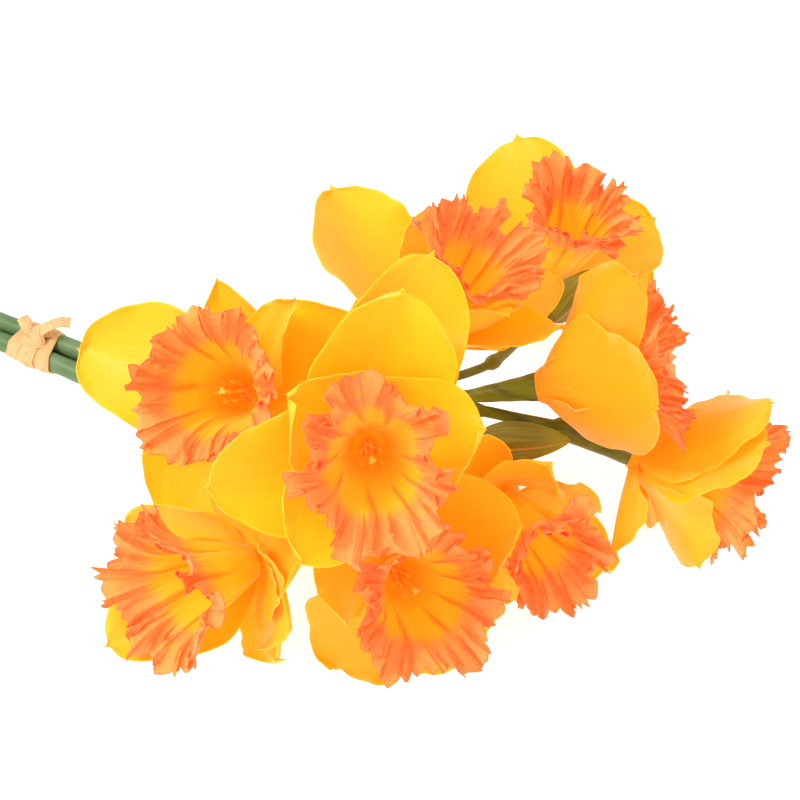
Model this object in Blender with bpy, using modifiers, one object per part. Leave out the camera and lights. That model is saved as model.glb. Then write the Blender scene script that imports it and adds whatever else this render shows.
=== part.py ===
"""A tied bunch of nine daffodils, lying on a level surface.

The stems run along +X from their cut ends to the flowers, and +Z is up. Every flower has six broad yellow
tepals on a small hub, an orange trumpet with a folded mouth, and a pistil with six stamens inside it. Three
green stems divide into three branches each, and a raffia tie holds them together. The origin is the middle of
the underside of the whole bunch's box.

Sizes below are in millimetres and degrees; the meshes are made in metres.
"""
import math
from dataclasses import dataclass

import bmesh
import bpy
import numpy as np
from mathutils import Vector

MM = 0.001
GAP = 0.3                      # clearance between pieces that meet
JOIN_DISTANCE = 0.001          # points closer than this are one
SHARP_ANGLE = 40.0

# Tepals
BLADE_THICKNESS = 0.7
BLADE_ROOT_RADIUS = 5.0        # where a blade leaves the hub, from the flower's axis
BLADE_ROOT_HEIGHT = -2.0       # below the hub's top
LONG_BLADE = 50.0              # a blade this long is split more finely along its length
LONG_BLADE_ROWS = (0.0, 0.18, 0.52, 0.84, 1.0)
SHORT_BLADE_ROWS = (0.0, 0.25, 0.78, 1.0)
BLADE_COLUMNS = (-1.0, -0.5, 0.0, 0.5, 1.0)
BLADE_SHOULDER = 0.80          # moves a blade's widest place along it
BLADE_FULLNESS = 0.48          # lower is blunter at both ends
BLADE_CLAW = 0.30              # least share of the half width at the root
BLADE_POINT = 0.02             # share of the half width that is left at the tip
BLADE_HOLLOW = 1.6             # how fast a cupped blade turns up towards its edges
BLADE_CREASE = 3.0             # a folded blade is at its full angle this soon beside its middle
BLADE_RIPPLE = 1.5             # height of the wave along a blade's edges
RIPPLE_RATE = 2.7              # half waves along an edge
RIPPLE_SIDE_SHIFT = 1.9        # so that the two edges wave apart
RIPPLE_FLOWER_SHIFT = 1.7      # so that the flowers' blades wave apart
RIPPLE_START = 2.5             # the wave is whole at one part in this of the length
SWEEP_POWER = 1.3              # a swept blade bends more towards its tip

# Hub: the short yellow cone that the tepals grow from
HUB_TOP_RADIUS = 7.0
HUB_BOTTOM_RADIUS = 5.6
HUB_DEPTH = 3.6
HUB_SIDES = 10

# Trumpet
TRUMPET_WALL = 0.7
TRUMPET_THROAT = 5.6
TRUMPET_BOWL = 13.5            # steady widening from throat to mouth
TRUMPET_BOWL_POWER = 0.8
TRUMPET_FLARE = 7.4            # late widening at the mouth
TRUMPET_FLARE_POWER = 5.0
TRUMPET_SPREAD = 0.10          # share of the height that the flaring mouth gives up
TRUMPET_RINGS = (0.0, 0.36, 0.78, 1.0)
TRUMPET_SIDES = 24
TRUMPET_FOLDS = 11
FOLD_DEPTH = 2.0
FOLD_OVERTONE = 0.35           # share of the finer folds among the main ones
FOLD_WARP = ((2, 0.18), (3, 0.12))             # waves round the trumpet that make the folds uneven
MOUTH_LOBES = ((3, 0.04), (5, 0.03))           # waves round the mouth, and their share of its radius
MOUTH_LAG = 0.6                # the mouth droops a little beside each fold
MOUTH_DROOP = 2.4
MOUTH_SWAY = 1.6               # broad rise and fall of the mouth's edge

# Pistil and stamens
SEAT_SIDES, STYLE_SIDES, STAMEN_SIDES = 8, 5, 3
PISTIL_SEAT_RADIUS = 3.2
PISTIL_SEAT_HEIGHT = 1.4
ROOT_SINK = 0.5                # how far the style starts above the seat's underside
STYLE_RADIUS = 0.9
STYLE_SHARE = 0.56             # of the trumpet's length
STAMEN_COUNT = 6
STAMEN_ROOT_RADIUS = 0.6
STAMEN_RADIUS = 0.75
STAMEN_RING = 2.1              # from the flower's axis
STAMEN_SINK = 1.0              # into the seat
STAMEN_SHARE = 0.42
STAMEN_STEP = 0.04             # every second stamen is longer by this share
STAMEN_LEAN = 5.0
STIGMA_RADIUS = 1.4

# Stems
STEM_RADIUS = 3.6
BRANCH_RADIUS = 1.65
BEYOND_COLLAR_RADIUS = 2.1
COLLAR_RADIUS = 2.8
COLLAR_LENGTH = 5.0
COLLAR_FLAT = 0.9              # share of a collar's length at its full radius
NECK = ((28.0, 2.5), (20.0, 3.3), (11.0, 4.2), (HUB_DEPTH + GAP, 5.2))      # distance behind the base, radius
FAT_NECK = ((31.0, 3.6), (29.0, 4.5), (12.0, 4.7), (HUB_DEPTH + GAP, 5.2))
STEM_STEP = 20.0               # spacing of the rings along a stem
BRANCH_STEP = 9.0
TIE_AT = Vector((-142.0, -20.0, 27.0))
TIE_ALONG = Vector((47.0, -3.0, 6.0)).normalized()

# Bracts
SPATHE_ROWS, SPATHE_COLUMNS = 5, 2
SPATHE_CLAW = 0.25             # share of the half width at the root
SPATHE_SHOULDER = 0.8
SPATHE_FULLNESS = 0.7

# Tie
BAND_THICKNESS = 1.1
TIE_LENGTH = 13.6              # along the stems
TIE_SIDES = 20
KNOT_HALF_SIZE = (4.6, 2.8, 4.0)               # across the stems, up, and along them
KNOT_SEGMENTS, KNOT_RINGS = 10, 6
KNOT_LIFT = 1.4
KNOT_ASIDE = 1.0
TAILS = ((1, 15.0, 5.0), (-1, 12.0, 4.0))      # side, reach and rise
TAIL_ASIDE = 0.55              # shares of a tail's reach across and along the stems
TAIL_AHEAD = 0.8
TAIL_ARCH = 2.5
TAIL_WIDTH = 3.6
TAIL_TAPER = 0.35
TAIL_ROWS = 4


@dataclass(frozen=True)
class Tepal:
    """One blade: where it grows round the flower, how it leans up from level, its size and its bends."""

    around: float
    lean: float
    length: float
    width: float
    twist: float = 0.0
    curl: float = 0.0
    cup: float = 0.2
    fold: float = 0.0
    sweep: float = 0.0


@dataclass(frozen=True)
class Flower:
    """One flower: the hub's place, the way its axis points, its trumpet and its tepals."""

    number: int
    base: tuple
    heading: float
    rise: float
    tepals: tuple
    mouth: float = 1.0          # scale of the trumpet's radius
    length: float = 45.0        # of the trumpet
    oval: float = 0.1           # share by which the mouth is drawn out
    oval_at: float = 90.0       # direction in which it is drawn out


FLOWERS = (
    Flower(1, (-49, -25, 66), -93, 55, mouth=0.98, oval=0.06, tepals=(
        Tepal(190, 0, 62, 48, twist=10), Tepal(124, 22, 38, 24, twist=20), Tepal(74, 38, 46, 26, fold=8),
        Tepal(46, 16, 52, 44), Tepal(262, -8, 54, 46, twist=-10), Tepal(305, 45, 26, 34))),
    Flower(2, (6, -37, 86), -59, 47, oval=0.14, tepals=(
        Tepal(76, 25, 58, 50), Tepal(138, 45, 42, 46, twist=10), Tepal(187, 20, 54, 46, twist=-10),
        Tepal(230, 45, 50, 40), Tepal(68, 0, 64, 46), Tepal(12, 40, 44, 46, twist=-20))),
    Flower(3, (-22, -73, 42), -118, 23, oval=0.04, oval_at=0, tepals=(
        Tepal(255, 55, 58, 42), Tepal(205, 25, 50, 32), Tepal(125, -14, 36, 40),
        Tepal(50, 20, 40, 40, twist=-20), Tepal(20, 28, 42, 36), Tepal(350, 25, 36, 34))),
    Flower(4, (25, -55, 42), -42, 42, mouth=0.95, oval=0.04, oval_at=60, tepals=(
        Tepal(233, -25, 43, 44, twist=40), Tepal(140, 40, 44, 42), Tepal(90, -10, 34, 36),
        Tepal(20, 40, 54, 50, twist=-50, curl=15), Tepal(320, -5, 40, 38), Tepal(290, -5, 42, 40))),
    Flower(5, (48, -14, 48), -37, 17, mouth=0.72, length=42, tepals=(
        Tepal(75, 45, 38, 32, twist=-50), Tepal(322, 0, 42, 26), Tepal(300, 25, 46, 38),
        Tepal(270, 5, 46, 38), Tepal(200, 40, 18, 26), Tepal(125, 0, 36, 36))),
    Flower(6, (0, 21, 75), 53, 58, mouth=0.88, oval_at=100, tepals=(
        Tepal(36, 12, 60, 64, sweep=-25), Tepal(88, -5, 28, 34), Tepal(180, 64, 44, 42),
        Tepal(218, 48, 50, 24, twist=20), Tepal(272, 35, 52, 42), Tepal(345, 48, 44, 38))),
    Flower(7, (21, 88, 36), 56, 73, mouth=0.76, length=42, oval_at=0, tepals=(
        Tepal(350, 30, 54, 50, twist=-50), Tepal(40, -5, 44, 40), Tepal(68, -12, 40, 34),
        Tepal(90, 0, 36, 30), Tepal(264, -12, 46, 42, twist=40), Tepal(280, 12, 50, 42, twist=25))),
    Flower(8, (48, 21, 73), 25, 16, mouth=0.90, length=47, tepals=(
        Tepal(145, 55, 54, 54, cup=0.25), Tepal(68, 50, 54, 42, twist=60), Tepal(15, 50, 26, 32),
        Tepal(315, 40, 34, 38), Tepal(222, 62, 42, 34), Tepal(280, 60, 24, 24))),
    Flower(9, (84, 25, 46), 12, -14, mouth=0.92, tepals=(
        Tepal(75, 42, 52, 41), Tepal(94, 48, 50, 38), Tepal(184, 0, 43, 20, fold=20),
        Tepal(230, 54, 44, 50, twist=-30, sweep=-30), Tepal(290, 30, 50, 42), Tepal(345, 40, 48, 40))),
)


@dataclass(frozen=True)
class Branch:
    """One branch: the flower it carries and the points it passes, from its root in the main stem."""

    flower: int
    points: tuple
    collar: int                 # which of the points the collar sits on
    neck: tuple = NECK


@dataclass(frozen=True)
class Stem:
    """One main stem: its points from the cut end to the fork, and its branches."""

    letter: str
    points: tuple
    branches: tuple


STEMS = (
    Stem("a", ((-258, -9, 9.6), (-215, -11, 14), (-161, -15, 26), (-142, -16, 29), (-100, -15, 34),
               (-60, -5, 39), (-28, 2, 47)), (
        Branch(6, ((-34, 1, 46), (-22, 4, 46.5), (-15, 7, 48)), 1),
        Branch(7, ((-34, 1, 46), (-12, 5, 53), (4, 12, 57), (16, 22, 58), (22, 34, 54), (25, 56, 46),
                   (25, 72, 28), (20, 81, 10)), 4),
        Branch(8, ((-34, 1, 46), (-12, 2, 56), (6, 5, 61), (20, 9, 64)), 1))),
    Stem("b", ((-262, -17, 9.6), (-215, -19, 14), (-161, -23, 26), (-142, -24, 29), (-100, -26, 33),
               (-66, -24, 37), (-42, -22, 40)), (
        Branch(1, ((-78, -25, 35.5), (-62, -21, 40), (-50, -15, 43)), 1),
        Branch(2, ((-50, -23, 39), (-30, -21, 46), (-14, -19, 56)), 1),
        Branch(3, ((-50, -23, 39), (-34, -33, 38), (-22, -44, 34)), 1))),
    Stem("c", ((-255, -13, 3.4), (-236, -14, 3.4), (-215, -15, 6), (-161, -19, 19.5), (-142, -20, 22.8),
               (-100, -19, 27), (-60, -12, 33), (-24, -8, 40)), (
        Branch(4, ((-32, -9, 38.5), (-14, -15, 40), (0, -27, 33)), 1),
        Branch(5, ((-32, -9, 38.5), (-12, -6, 44), (6, 0, 46), (20, 2, 43)), 2),
        Branch(9, ((-32, -9, 38.5), (-14, -2, 45), (4, 6, 50), (25, 13, 52), (40, 15, 54)), 3, FAT_NECK))),
)


@dataclass(frozen=True)
class Spathe:
    """One papery bract: its root on a flower's neck, its tip, and the side that its back faces."""

    flower: int
    root: tuple
    tip: tuple
    outward: tuple
    width: float
    bow: float = 2.0            # how far its middle stands out
    hollow: float = 3.0         # how far its edges fold back


SPATHES = (
    Spathe(7, (28.6, 73, 33), (37, 90, 50), (0.5, -0.5, 0.6), 13),
    Spathe(5, (30, 2, 48.5), (61, 15, 54), (0.3, -0.7, 0.7), 13),
)


def clear_scene():
    """Remove whatever the file opened with."""
    for obj in list(bpy.data.objects):
        bpy.data.objects.remove(obj, do_unlink=True)


def make_material(name, colour, roughness):
    """A plain Principled finish."""
    finish = bpy.data.materials.new(name)
    finish.use_nodes = True
    shader = finish.node_tree.nodes["Principled BSDF"]
    shader.inputs["Base Color"].default_value = (*colour, 1.0)
    shader.inputs["Roughness"].default_value = roughness
    shader.inputs["Metallic"].default_value = 0.0
    return finish


def add_object(name, mesh, collection):
    """Link a mesh as an object in a collection."""
    obj = bpy.data.objects.new(name, mesh)
    collection.objects.link(obj)
    return obj


def mesh_from(name, bm):
    """Turn a bmesh in millimetres into a mesh in metres."""
    bmesh.ops.scale(bm, vec=(MM, MM, MM), verts=bm.verts)
    mesh = bpy.data.meshes.new(name)
    bm.to_mesh(mesh)
    bm.free()
    return mesh


def evaluated(obj):
    """The object's mesh with its modifiers applied."""
    graph = bpy.context.evaluated_depsgraph_get()
    return bpy.data.meshes.new_from_object(obj.evaluated_get(graph))


def bake_modifiers(obj):
    """Apply every modifier of an object."""
    mesh = evaluated(obj)
    obj.modifiers.clear()
    obj.data = mesh


def fuse(name, pieces, finish, home, solver="EXACT"):
    """Join closed pieces into one body with a single Boolean union."""
    parts = bpy.data.collections.new(name + "_parts")
    bpy.context.scene.collection.children.link(parts)
    for piece in pieces[1:]:
        for owner in list(piece.users_collection):
            owner.objects.unlink(piece)
        parts.objects.link(piece)
    body = pieces[0]
    body.name = name
    union = body.modifiers.new("union", "BOOLEAN")
    union.operation = "UNION"
    union.operand_type = "COLLECTION"
    union.collection = parts
    union.solver = solver
    bake_modifiers(body)
    for piece in list(parts.objects):
        bpy.data.objects.remove(piece, do_unlink=True)
    bpy.data.collections.remove(parts)
    finish_object(body, name, finish, home)
    return body


def finish_object(obj, name, finish, home):
    """Name an object, give it its only material and shade it smooth."""
    obj.name = name
    obj.data.materials.clear()
    obj.data.materials.append(finish)
    obj.data.shade_smooth()
    obj.data.set_sharp_from_angle(angle=math.radians(SHARP_ANGLE))
    if obj.name not in home.objects:
        home.objects.link(obj)


def place_mesh(mesh, origin, axes):
    """Move a mesh from its own frame to the bunch's, with the frame's axes as columns."""
    for vertex in mesh.vertices:
        x, y, z = vertex.co
        vertex.co = Vector(origin) * MM + axes[0] * x + axes[1] * y + axes[2] * z


def flower_axes(flower):
    """Across, upper side and axis of a flower."""
    heading, rise = math.radians(flower.heading), math.radians(flower.rise)
    axis = Vector((math.cos(heading) * math.cos(rise), math.sin(heading) * math.cos(rise), math.sin(rise)))
    across = Vector((-math.sin(heading), math.cos(heading), 0.0))
    return across, axis.cross(across), axis


def blade_half_width(s):
    """Share of the half width at a share s of the blade's length: broad, with a short blunt point."""
    body = np.sin(math.pi * s ** BLADE_SHOULDER) ** BLADE_FULLNESS
    claw = BLADE_CLAW * (1.0 - s) ** 2
    return np.maximum(body, claw) + BLADE_POINT


def blade_point(tepal, phase, s, v):
    """A blade's surface in the flower's frame, for s from root to tip and v from edge to edge."""
    start, bend = math.radians(tepal.lean), math.radians(tepal.curl)
    middle = start + bend * s / 2
    chord = tepal.length * s * np.sinc(bend * s / (2 * math.pi))
    slope = start + bend * s
    reach = BLADE_ROOT_RADIUS + chord * np.cos(middle)
    height = BLADE_ROOT_HEIGHT + chord * np.sin(middle)

    half = tepal.width / 2 * blade_half_width(s)
    hollow = BLADE_HOLLOW * tepal.cup * abs(v) + math.radians(tepal.fold) * min(1.0, BLADE_CREASE * abs(v))
    across = half * v * math.cos(hollow)
    lift = half * abs(v) * math.sin(hollow)
    side = math.copysign(1.0, v) if v else 0.0
    ripple = math.sin(RIPPLE_RATE * math.pi * s + phase + RIPPLE_SIDE_SHIFT * side)
    lift += BLADE_RIPPLE * ripple * abs(v) ** 3 * min(1.0, RIPPLE_START * s)
    turn = math.radians(tepal.twist) * s
    across, lift = (across * math.cos(turn) - lift * math.sin(turn),
                    across * math.sin(turn) + lift * math.cos(turn))

    out = reach - lift * math.sin(slope) - BLADE_ROOT_RADIUS
    up = height + lift * math.cos(slope)
    yaw = math.radians(tepal.sweep) * s ** SWEEP_POWER
    x = BLADE_ROOT_RADIUS + out * math.cos(yaw) - across * math.sin(yaw)
    y = out * math.sin(yaw) + across * math.cos(yaw)
    around = math.radians(tepal.around)
    return Vector((x * math.cos(around) - y * math.sin(around),
                   x * math.sin(around) + y * math.cos(around), up))


def thicken(mesh, name, thickness, home):
    """Give an open surface its thickness, evenly to both sides."""
    obj = add_object(name, mesh, home)
    wall = obj.modifiers.new("wall", "SOLIDIFY")
    wall.thickness = thickness * MM
    wall.offset = 0.0
    bake_modifiers(obj)
    return obj


def clear_table(obj):
    """Flatten whatever would reach below the surface that the bunch lies on."""
    for vertex in obj.data.vertices:
        vertex.co.z = max(vertex.co.z, 0.0)


def make_blade(flower, index, tepal, home):
    """One tepal as a thin closed blade, split into triangles alike on both faces."""
    bm = bmesh.new()
    shares = LONG_BLADE_ROWS if tepal.length >= LONG_BLADE else SHORT_BLADE_ROWS
    rows, columns = len(shares) - 1, len(BLADE_COLUMNS) - 1
    bmesh.ops.create_grid(bm, x_segments=columns, y_segments=rows, size=0.5)
    phase = flower.number * RIPPLE_FLOWER_SHIFT + index
    for vertex in bm.verts:
        column = round((vertex.co.x + 0.5) * columns)
        row = round((vertex.co.y + 0.5) * rows)
        vertex.co = blade_point(tepal, phase, shares[row], BLADE_COLUMNS[column])
    bmesh.ops.triangulate(bm, faces=bm.faces, quad_method="SHORT_EDGE")
    mesh = mesh_from("blade", bm)
    place_mesh(mesh, flower.base, flower_axes(flower))
    for vertex in mesh.vertices:
        vertex.co.z = max(vertex.co.z, BLADE_THICKNESS / 2 * MM)
    return thicken(mesh, f"blade_{flower.number}_{index}", BLADE_THICKNESS, home)


def make_cone(name, sides, low_radius, high_radius, low, high, home):
    """A closed cone or cylinder along +Z between two heights."""
    bm = bmesh.new()
    bmesh.ops.create_cone(bm, cap_ends=True, segments=sides, radius1=low_radius, radius2=high_radius,
                          depth=high - low)
    bmesh.ops.translate(bm, vec=(0, 0, (low + high) / 2), verts=bm.verts)
    return add_object(name, mesh_from(name, bm), home)


def make_perianth(flower, finish, home):
    """Six tepals on their hub, in one body."""
    hub = make_cone("hub", HUB_SIDES, HUB_BOTTOM_RADIUS, HUB_TOP_RADIUS, -HUB_DEPTH, 0.0, home)
    place_mesh(hub.data, flower.base, flower_axes(flower))
    blades = [make_blade(flower, index, tepal, home) for index, tepal in enumerate(flower.tepals)]
    body = fuse(f"perianth_{flower.number}", [hub, *blades], finish, home, solver="MANIFOLD")
    clear_table(body)


def trumpet_point(flower, draws, s, f):
    """The trumpet's surface for s from throat to mouth and f round it."""
    radius = flower.mouth * (TRUMPET_THROAT + TRUMPET_BOWL * s ** TRUMPET_BOWL_POWER
                             + TRUMPET_FLARE * s ** TRUMPET_FLARE_POWER)
    climb = flower.length - 2 * GAP
    height = 2 * GAP + climb * (s - TRUMPET_SPREAD * s ** 3) / (1 - TRUMPET_SPREAD)
    grow = s * s
    warp = f + sum(size * math.sin(count * f + draw) for (count, size), draw in zip(FOLD_WARP, draws[:2]))
    fold = TRUMPET_FOLDS * warp + draws[2]
    wave = math.sin(fold) + FOLD_OVERTONE * math.sin((2 * TRUMPET_FOLDS - 3) * f + draws[3])
    lobes = sum(size * math.sin(count * f + draw) for (count, size), draw in zip(MOUTH_LOBES, draws[4:6]))
    lobes += flower.oval * math.cos(2 * (f - math.radians(flower.oval_at)))
    radius = radius * (1 + lobes * s ** 1.5) + FOLD_DEPTH * grow * wave
    height += MOUTH_SWAY * grow * math.sin(3 * f + draws[6]) - MOUTH_DROOP * grow * math.cos(fold + MOUTH_LAG)
    return Vector((radius * math.cos(f), radius * math.sin(f), height))


def make_corona(flower, finish, home):
    """The trumpet: a sheet rolled into a flaring tube with a folded mouth, then given its thickness."""
    draws = np.random.default_rng(flower.number).uniform(0, 2 * math.pi, 8)
    rings = len(TRUMPET_RINGS) - 1
    bm = bmesh.new()
    bmesh.ops.create_grid(bm, x_segments=TRUMPET_SIDES, y_segments=rings, size=0.5)
    for vertex in bm.verts:
        turn = round((vertex.co.x + 0.5) * TRUMPET_SIDES) % TRUMPET_SIDES
        ring = round((vertex.co.y + 0.5) * rings)
        vertex.co = trumpet_point(flower, draws, TRUMPET_RINGS[ring], 2 * math.pi * turn / TRUMPET_SIDES)
    bmesh.ops.remove_doubles(bm, verts=bm.verts, dist=JOIN_DISTANCE)
    bmesh.ops.triangulate(bm, faces=bm.faces, quad_method="SHORT_EDGE")
    mesh = mesh_from("corona", bm)
    place_mesh(mesh, flower.base, flower_axes(flower))
    body = thicken(mesh, f"corona_{flower.number}", TRUMPET_WALL, home)
    clear_table(body)
    finish_object(body, f"corona_{flower.number}", finish, home)


def make_pistil(flower, finish, home):
    """The style with its stigma, and six stamens round it, on one small seat."""
    floor = 2 * GAP
    seat_top = floor + PISTIL_SEAT_HEIGHT
    seat = make_cone("seat", SEAT_SIDES, PISTIL_SEAT_RADIUS, PISTIL_SEAT_RADIUS, floor, seat_top, home)
    style_top = flower.length * STYLE_SHARE
    style = make_cone("style", STYLE_SIDES, STYLE_RADIUS, STIGMA_RADIUS, floor + ROOT_SINK, style_top, home)
    pieces = [seat, style]
    for index in range(STAMEN_COUNT):
        top = flower.length * (STAMEN_SHARE + STAMEN_STEP * (index % 2))
        stamen = make_cone(f"stamen_{index}", STAMEN_SIDES, STAMEN_ROOT_RADIUS, STAMEN_RADIUS, 0.0,
                           top - seat_top + STAMEN_SINK, home)
        around = 2 * math.pi * (index + 0.5) / STAMEN_COUNT
        lean = math.radians(STAMEN_LEAN)
        out = Vector((math.cos(around), math.sin(around), 0.0))
        axis = Vector((0, 0, math.cos(lean))) + out * math.sin(lean)
        side = Vector((-math.sin(around), math.cos(around), 0.0))
        foot = out * STAMEN_RING + Vector((0, 0, seat_top - STAMEN_SINK))
        place_mesh(stamen.data, foot, (side.cross(axis), side, axis))
        pieces.append(stamen)
    for piece in pieces:
        place_mesh(piece.data, flower.base, flower_axes(flower))
    fuse(f"pistil_{flower.number}", pieces, finish, home)


def smooth_path(points, step):
    """Points about step apart on a smooth curve through the given ones, with each one's share of the way."""
    knots = [Vector(p) for p in points]
    ends = [knots[0] * 2 - knots[1], *knots, knots[-1] * 2 - knots[-2]]
    path = []
    for before, start, end, after in zip(ends, ends[1:], ends[2:], ends[3:]):
        count = max(1, round((end - start).length / step))
        span = (end - start).length
        leave = (end - before).normalized() * span
        arrive = (after - start).normalized() * span
        for index in range(count):
            t = index / count
            path.append(start * (2 * t ** 3 - 3 * t ** 2 + 1) + leave * (t ** 3 - 2 * t ** 2 + t)
                        + end * (3 * t ** 2 - 2 * t ** 3) + arrive * (t ** 3 - t ** 2))
    return [*path, knots[-1]]


def make_tube(name, path, radii, home):
    """A round tube along a path, as a curve with a radius at each point, turned into a closed mesh."""
    curve = bpy.data.curves.new(name, "CURVE")
    curve.dimensions = "3D"
    curve.bevel_depth = MM
    curve.bevel_resolution = 2
    curve.use_fill_caps = True
    spline = curve.splines.new("POLY")
    spline.points.add(len(path) - 1)
    for point, place, radius in zip(spline.points, path, radii):
        point.co = (*(place * MM), 1.0)
        point.radius = radius
    wire = add_object(name + "_curve", curve, home)
    bpy.context.view_layer.update()
    mesh = evaluated(wire)
    bm = bmesh.new()
    bm.from_mesh(mesh)
    bmesh.ops.remove_doubles(bm, verts=bm.verts, dist=JOIN_DISTANCE * MM)
    bm.to_mesh(mesh)
    bm.free()
    tube = add_object(name, mesh, home)
    tube.matrix_world = wire.matrix_world
    bpy.data.objects.remove(wire, do_unlink=True)
    return tube


def make_branch(branch, home):
    """A branch, thinner up to its collar and thicker beyond, that swells into the neck behind its flower."""
    flower = FLOWERS[branch.flower - 1]
    base, axis = Vector(flower.base), flower_axes(flower)[2]
    path = smooth_path((*branch.points, base - axis * branch.neck[0][0]), BRANCH_STEP)[:-1]
    seat = Vector(branch.points[branch.collar])
    collar = min(range(1, len(path) - 1), key=lambda index: (path[index] - seat).length)
    radii = [BRANCH_RADIUS] * collar + [BEYOND_COLLAR_RADIUS] * (len(path) - collar)
    half = (path[collar + 1] - path[collar - 1]).normalized() * COLLAR_LENGTH / 2
    path[collar:collar + 1] = [seat - half, seat - half * COLLAR_FLAT, seat + half * COLLAR_FLAT, seat + half]
    radii[collar:collar + 1] = [BRANCH_RADIUS, COLLAR_RADIUS, COLLAR_RADIUS, BEYOND_COLLAR_RADIUS]
    for behind, radius in branch.neck:
        path.append(base - axis * behind)
        radii.append(radius)
    return make_tube(f"branch_{branch.flower}", path, radii, home)


def make_stem(stem, finish, home):
    """A main stem with its three branches, in one body."""
    path = smooth_path(stem.points, STEM_STEP)
    pieces = [make_tube(f"main_{stem.letter}", path, [STEM_RADIUS] * len(path), home)]
    for branch in stem.branches:
        pieces.append(make_branch(branch, home))
    body = fuse(f"stem_{stem.letter}", pieces, finish, home)
    clear_table(body)


def make_spathe(spathe, finish, home):
    """A papery bract: a boat-shaped leaf that hugs the neck at its root and stands off at its tip."""
    root, tip = Vector(spathe.root), Vector(spathe.tip)
    run = (tip - root).normalized()
    out = (Vector(spathe.outward) - run * run.dot(Vector(spathe.outward))).normalized()
    breadth = run.cross(out)
    bm = bmesh.new()
    bmesh.ops.create_grid(bm, x_segments=SPATHE_COLUMNS, y_segments=SPATHE_ROWS, size=0.5)
    for vertex in bm.verts:
        v, t = 2 * vertex.co.x, vertex.co.y + 0.5
        body = math.sin(math.pi * t ** SPATHE_SHOULDER) ** SPATHE_FULLNESS
        half = spathe.width / 2 * (SPATHE_CLAW * (1 - t) + body + BLADE_POINT)
        bow = spathe.bow * math.sin(math.pi * t)
        vertex.co = (root.lerp(tip, t) + out * (bow - spathe.hollow * abs(v) * half / spathe.width * 2)
                     + breadth * (half * v))
    bmesh.ops.triangulate(bm, faces=bm.faces, quad_method="SHORT_EDGE")
    name = f"spathe_{spathe.flower}"
    body = thicken(mesh_from(name, bm), name, BLADE_THICKNESS, home)
    finish_object(body, name, finish, home)


def tie_frame():
    """Side, up and along directions of the tie."""
    side = Vector((0, 0, 1)).cross(TIE_ALONG).normalized()
    return side, TIE_ALONG.cross(side), TIE_ALONG


def stem_centres():
    """Each main stem's centre at the tie, as side and up distances from the tie's centre."""
    side, up, along = tie_frame()
    centres = []
    for stem in STEMS:
        path = [Vector(p) for p in stem.points]
        for start, end in zip(path, path[1:]):
            before, after = (start - TIE_AT).dot(along), (end - TIE_AT).dot(along)
            if before < 0 <= after or before == 0:
                spot = start.lerp(end, -before / (after - before)) - TIE_AT
                centres.append((spot.dot(side), spot.dot(up)))
                break
    return centres


def wrap_outline(distance, sides):
    """The closed line that runs round all three stems at a distance from their centres."""
    centres = stem_centres()
    outline = []
    for index in range(sides):
        angle = 2 * math.pi * index / sides
        side, up = math.cos(angle), math.sin(angle)
        furthest = max(centres, key=lambda c: c[0] * side + c[1] * up)
        outline.append((furthest[0] + distance * side, furthest[1] + distance * up))
    return outline


def make_tie(finish, home):
    """Flat bands wound round the stems, a knot on top and two short tails."""
    side, up, along = tie_frame()
    inner = STEM_RADIUS + 2 * GAP
    middle = wrap_outline(inner + BAND_THICKNESS / 2, TIE_SIDES)
    bm = bmesh.new()
    bmesh.ops.create_grid(bm, x_segments=TIE_SIDES, y_segments=1, size=0.5)
    for vertex in bm.verts:
        spot = middle[round((vertex.co.x + 0.5) * TIE_SIDES) % TIE_SIDES]
        vertex.co = TIE_AT + side * spot[0] + up * spot[1] + along * (vertex.co.y * TIE_LENGTH)
    bmesh.ops.remove_doubles(bm, verts=bm.verts, dist=JOIN_DISTANCE)
    bmesh.ops.triangulate(bm, faces=bm.faces)
    band = thicken(mesh_from("band", bm), "band", BAND_THICKNESS, home)

    crown = max(spot[1] for spot in middle)
    knot_at = TIE_AT + up * (crown + KNOT_LIFT) + side * KNOT_ASIDE
    wide, high, long = KNOT_HALF_SIZE
    bm = bmesh.new()
    bmesh.ops.create_uvsphere(bm, u_segments=KNOT_SEGMENTS, v_segments=KNOT_RINGS, radius=1.0)
    for vertex in bm.verts:
        x, y, z = vertex.co
        vertex.co = knot_at + side * (x * wide) + up * (z * high) + along * (y * long)
    knot = add_object("knot", mesh_from("knot", bm), home)
    pieces = [band, knot]
    for sign, reach, rise in TAILS:
        tip = knot_at + (side * TAIL_ASIDE + along * TAIL_AHEAD) * (sign * reach) + up * rise
        bm = bmesh.new()
        bmesh.ops.create_grid(bm, x_segments=1, y_segments=TAIL_ROWS, size=0.5)
        run = (tip - knot_at).normalized()
        breadth = run.cross(up).normalized()
        for vertex in bm.verts:
            t = vertex.co.y + 0.5
            vertex.co = (knot_at.lerp(tip, t) + up * (TAIL_ARCH * math.sin(math.pi * t))
                         + breadth * (vertex.co.x * TAIL_WIDTH * (1 - TAIL_TAPER * t)))
        bmesh.ops.triangulate(bm, faces=bm.faces)
        pieces.append(thicken(mesh_from("tail", bm), "tail", BAND_THICKNESS, home))
    fuse("raffia_tie", pieces, finish, home)


def seat_on_table(home):
    """Move everything so that the origin is the middle of the underside of the whole bunch."""
    points = np.array([v.co for obj in home.objects for v in obj.data.vertices])
    low, high = points.min(axis=0), points.max(axis=0)
    shift = Vector(((low[0] + high[0]) / 2, (low[1] + high[1]) / 2, low[2]))
    for obj in home.objects:
        for vertex in obj.data.vertices:
            vertex.co -= shift


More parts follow.
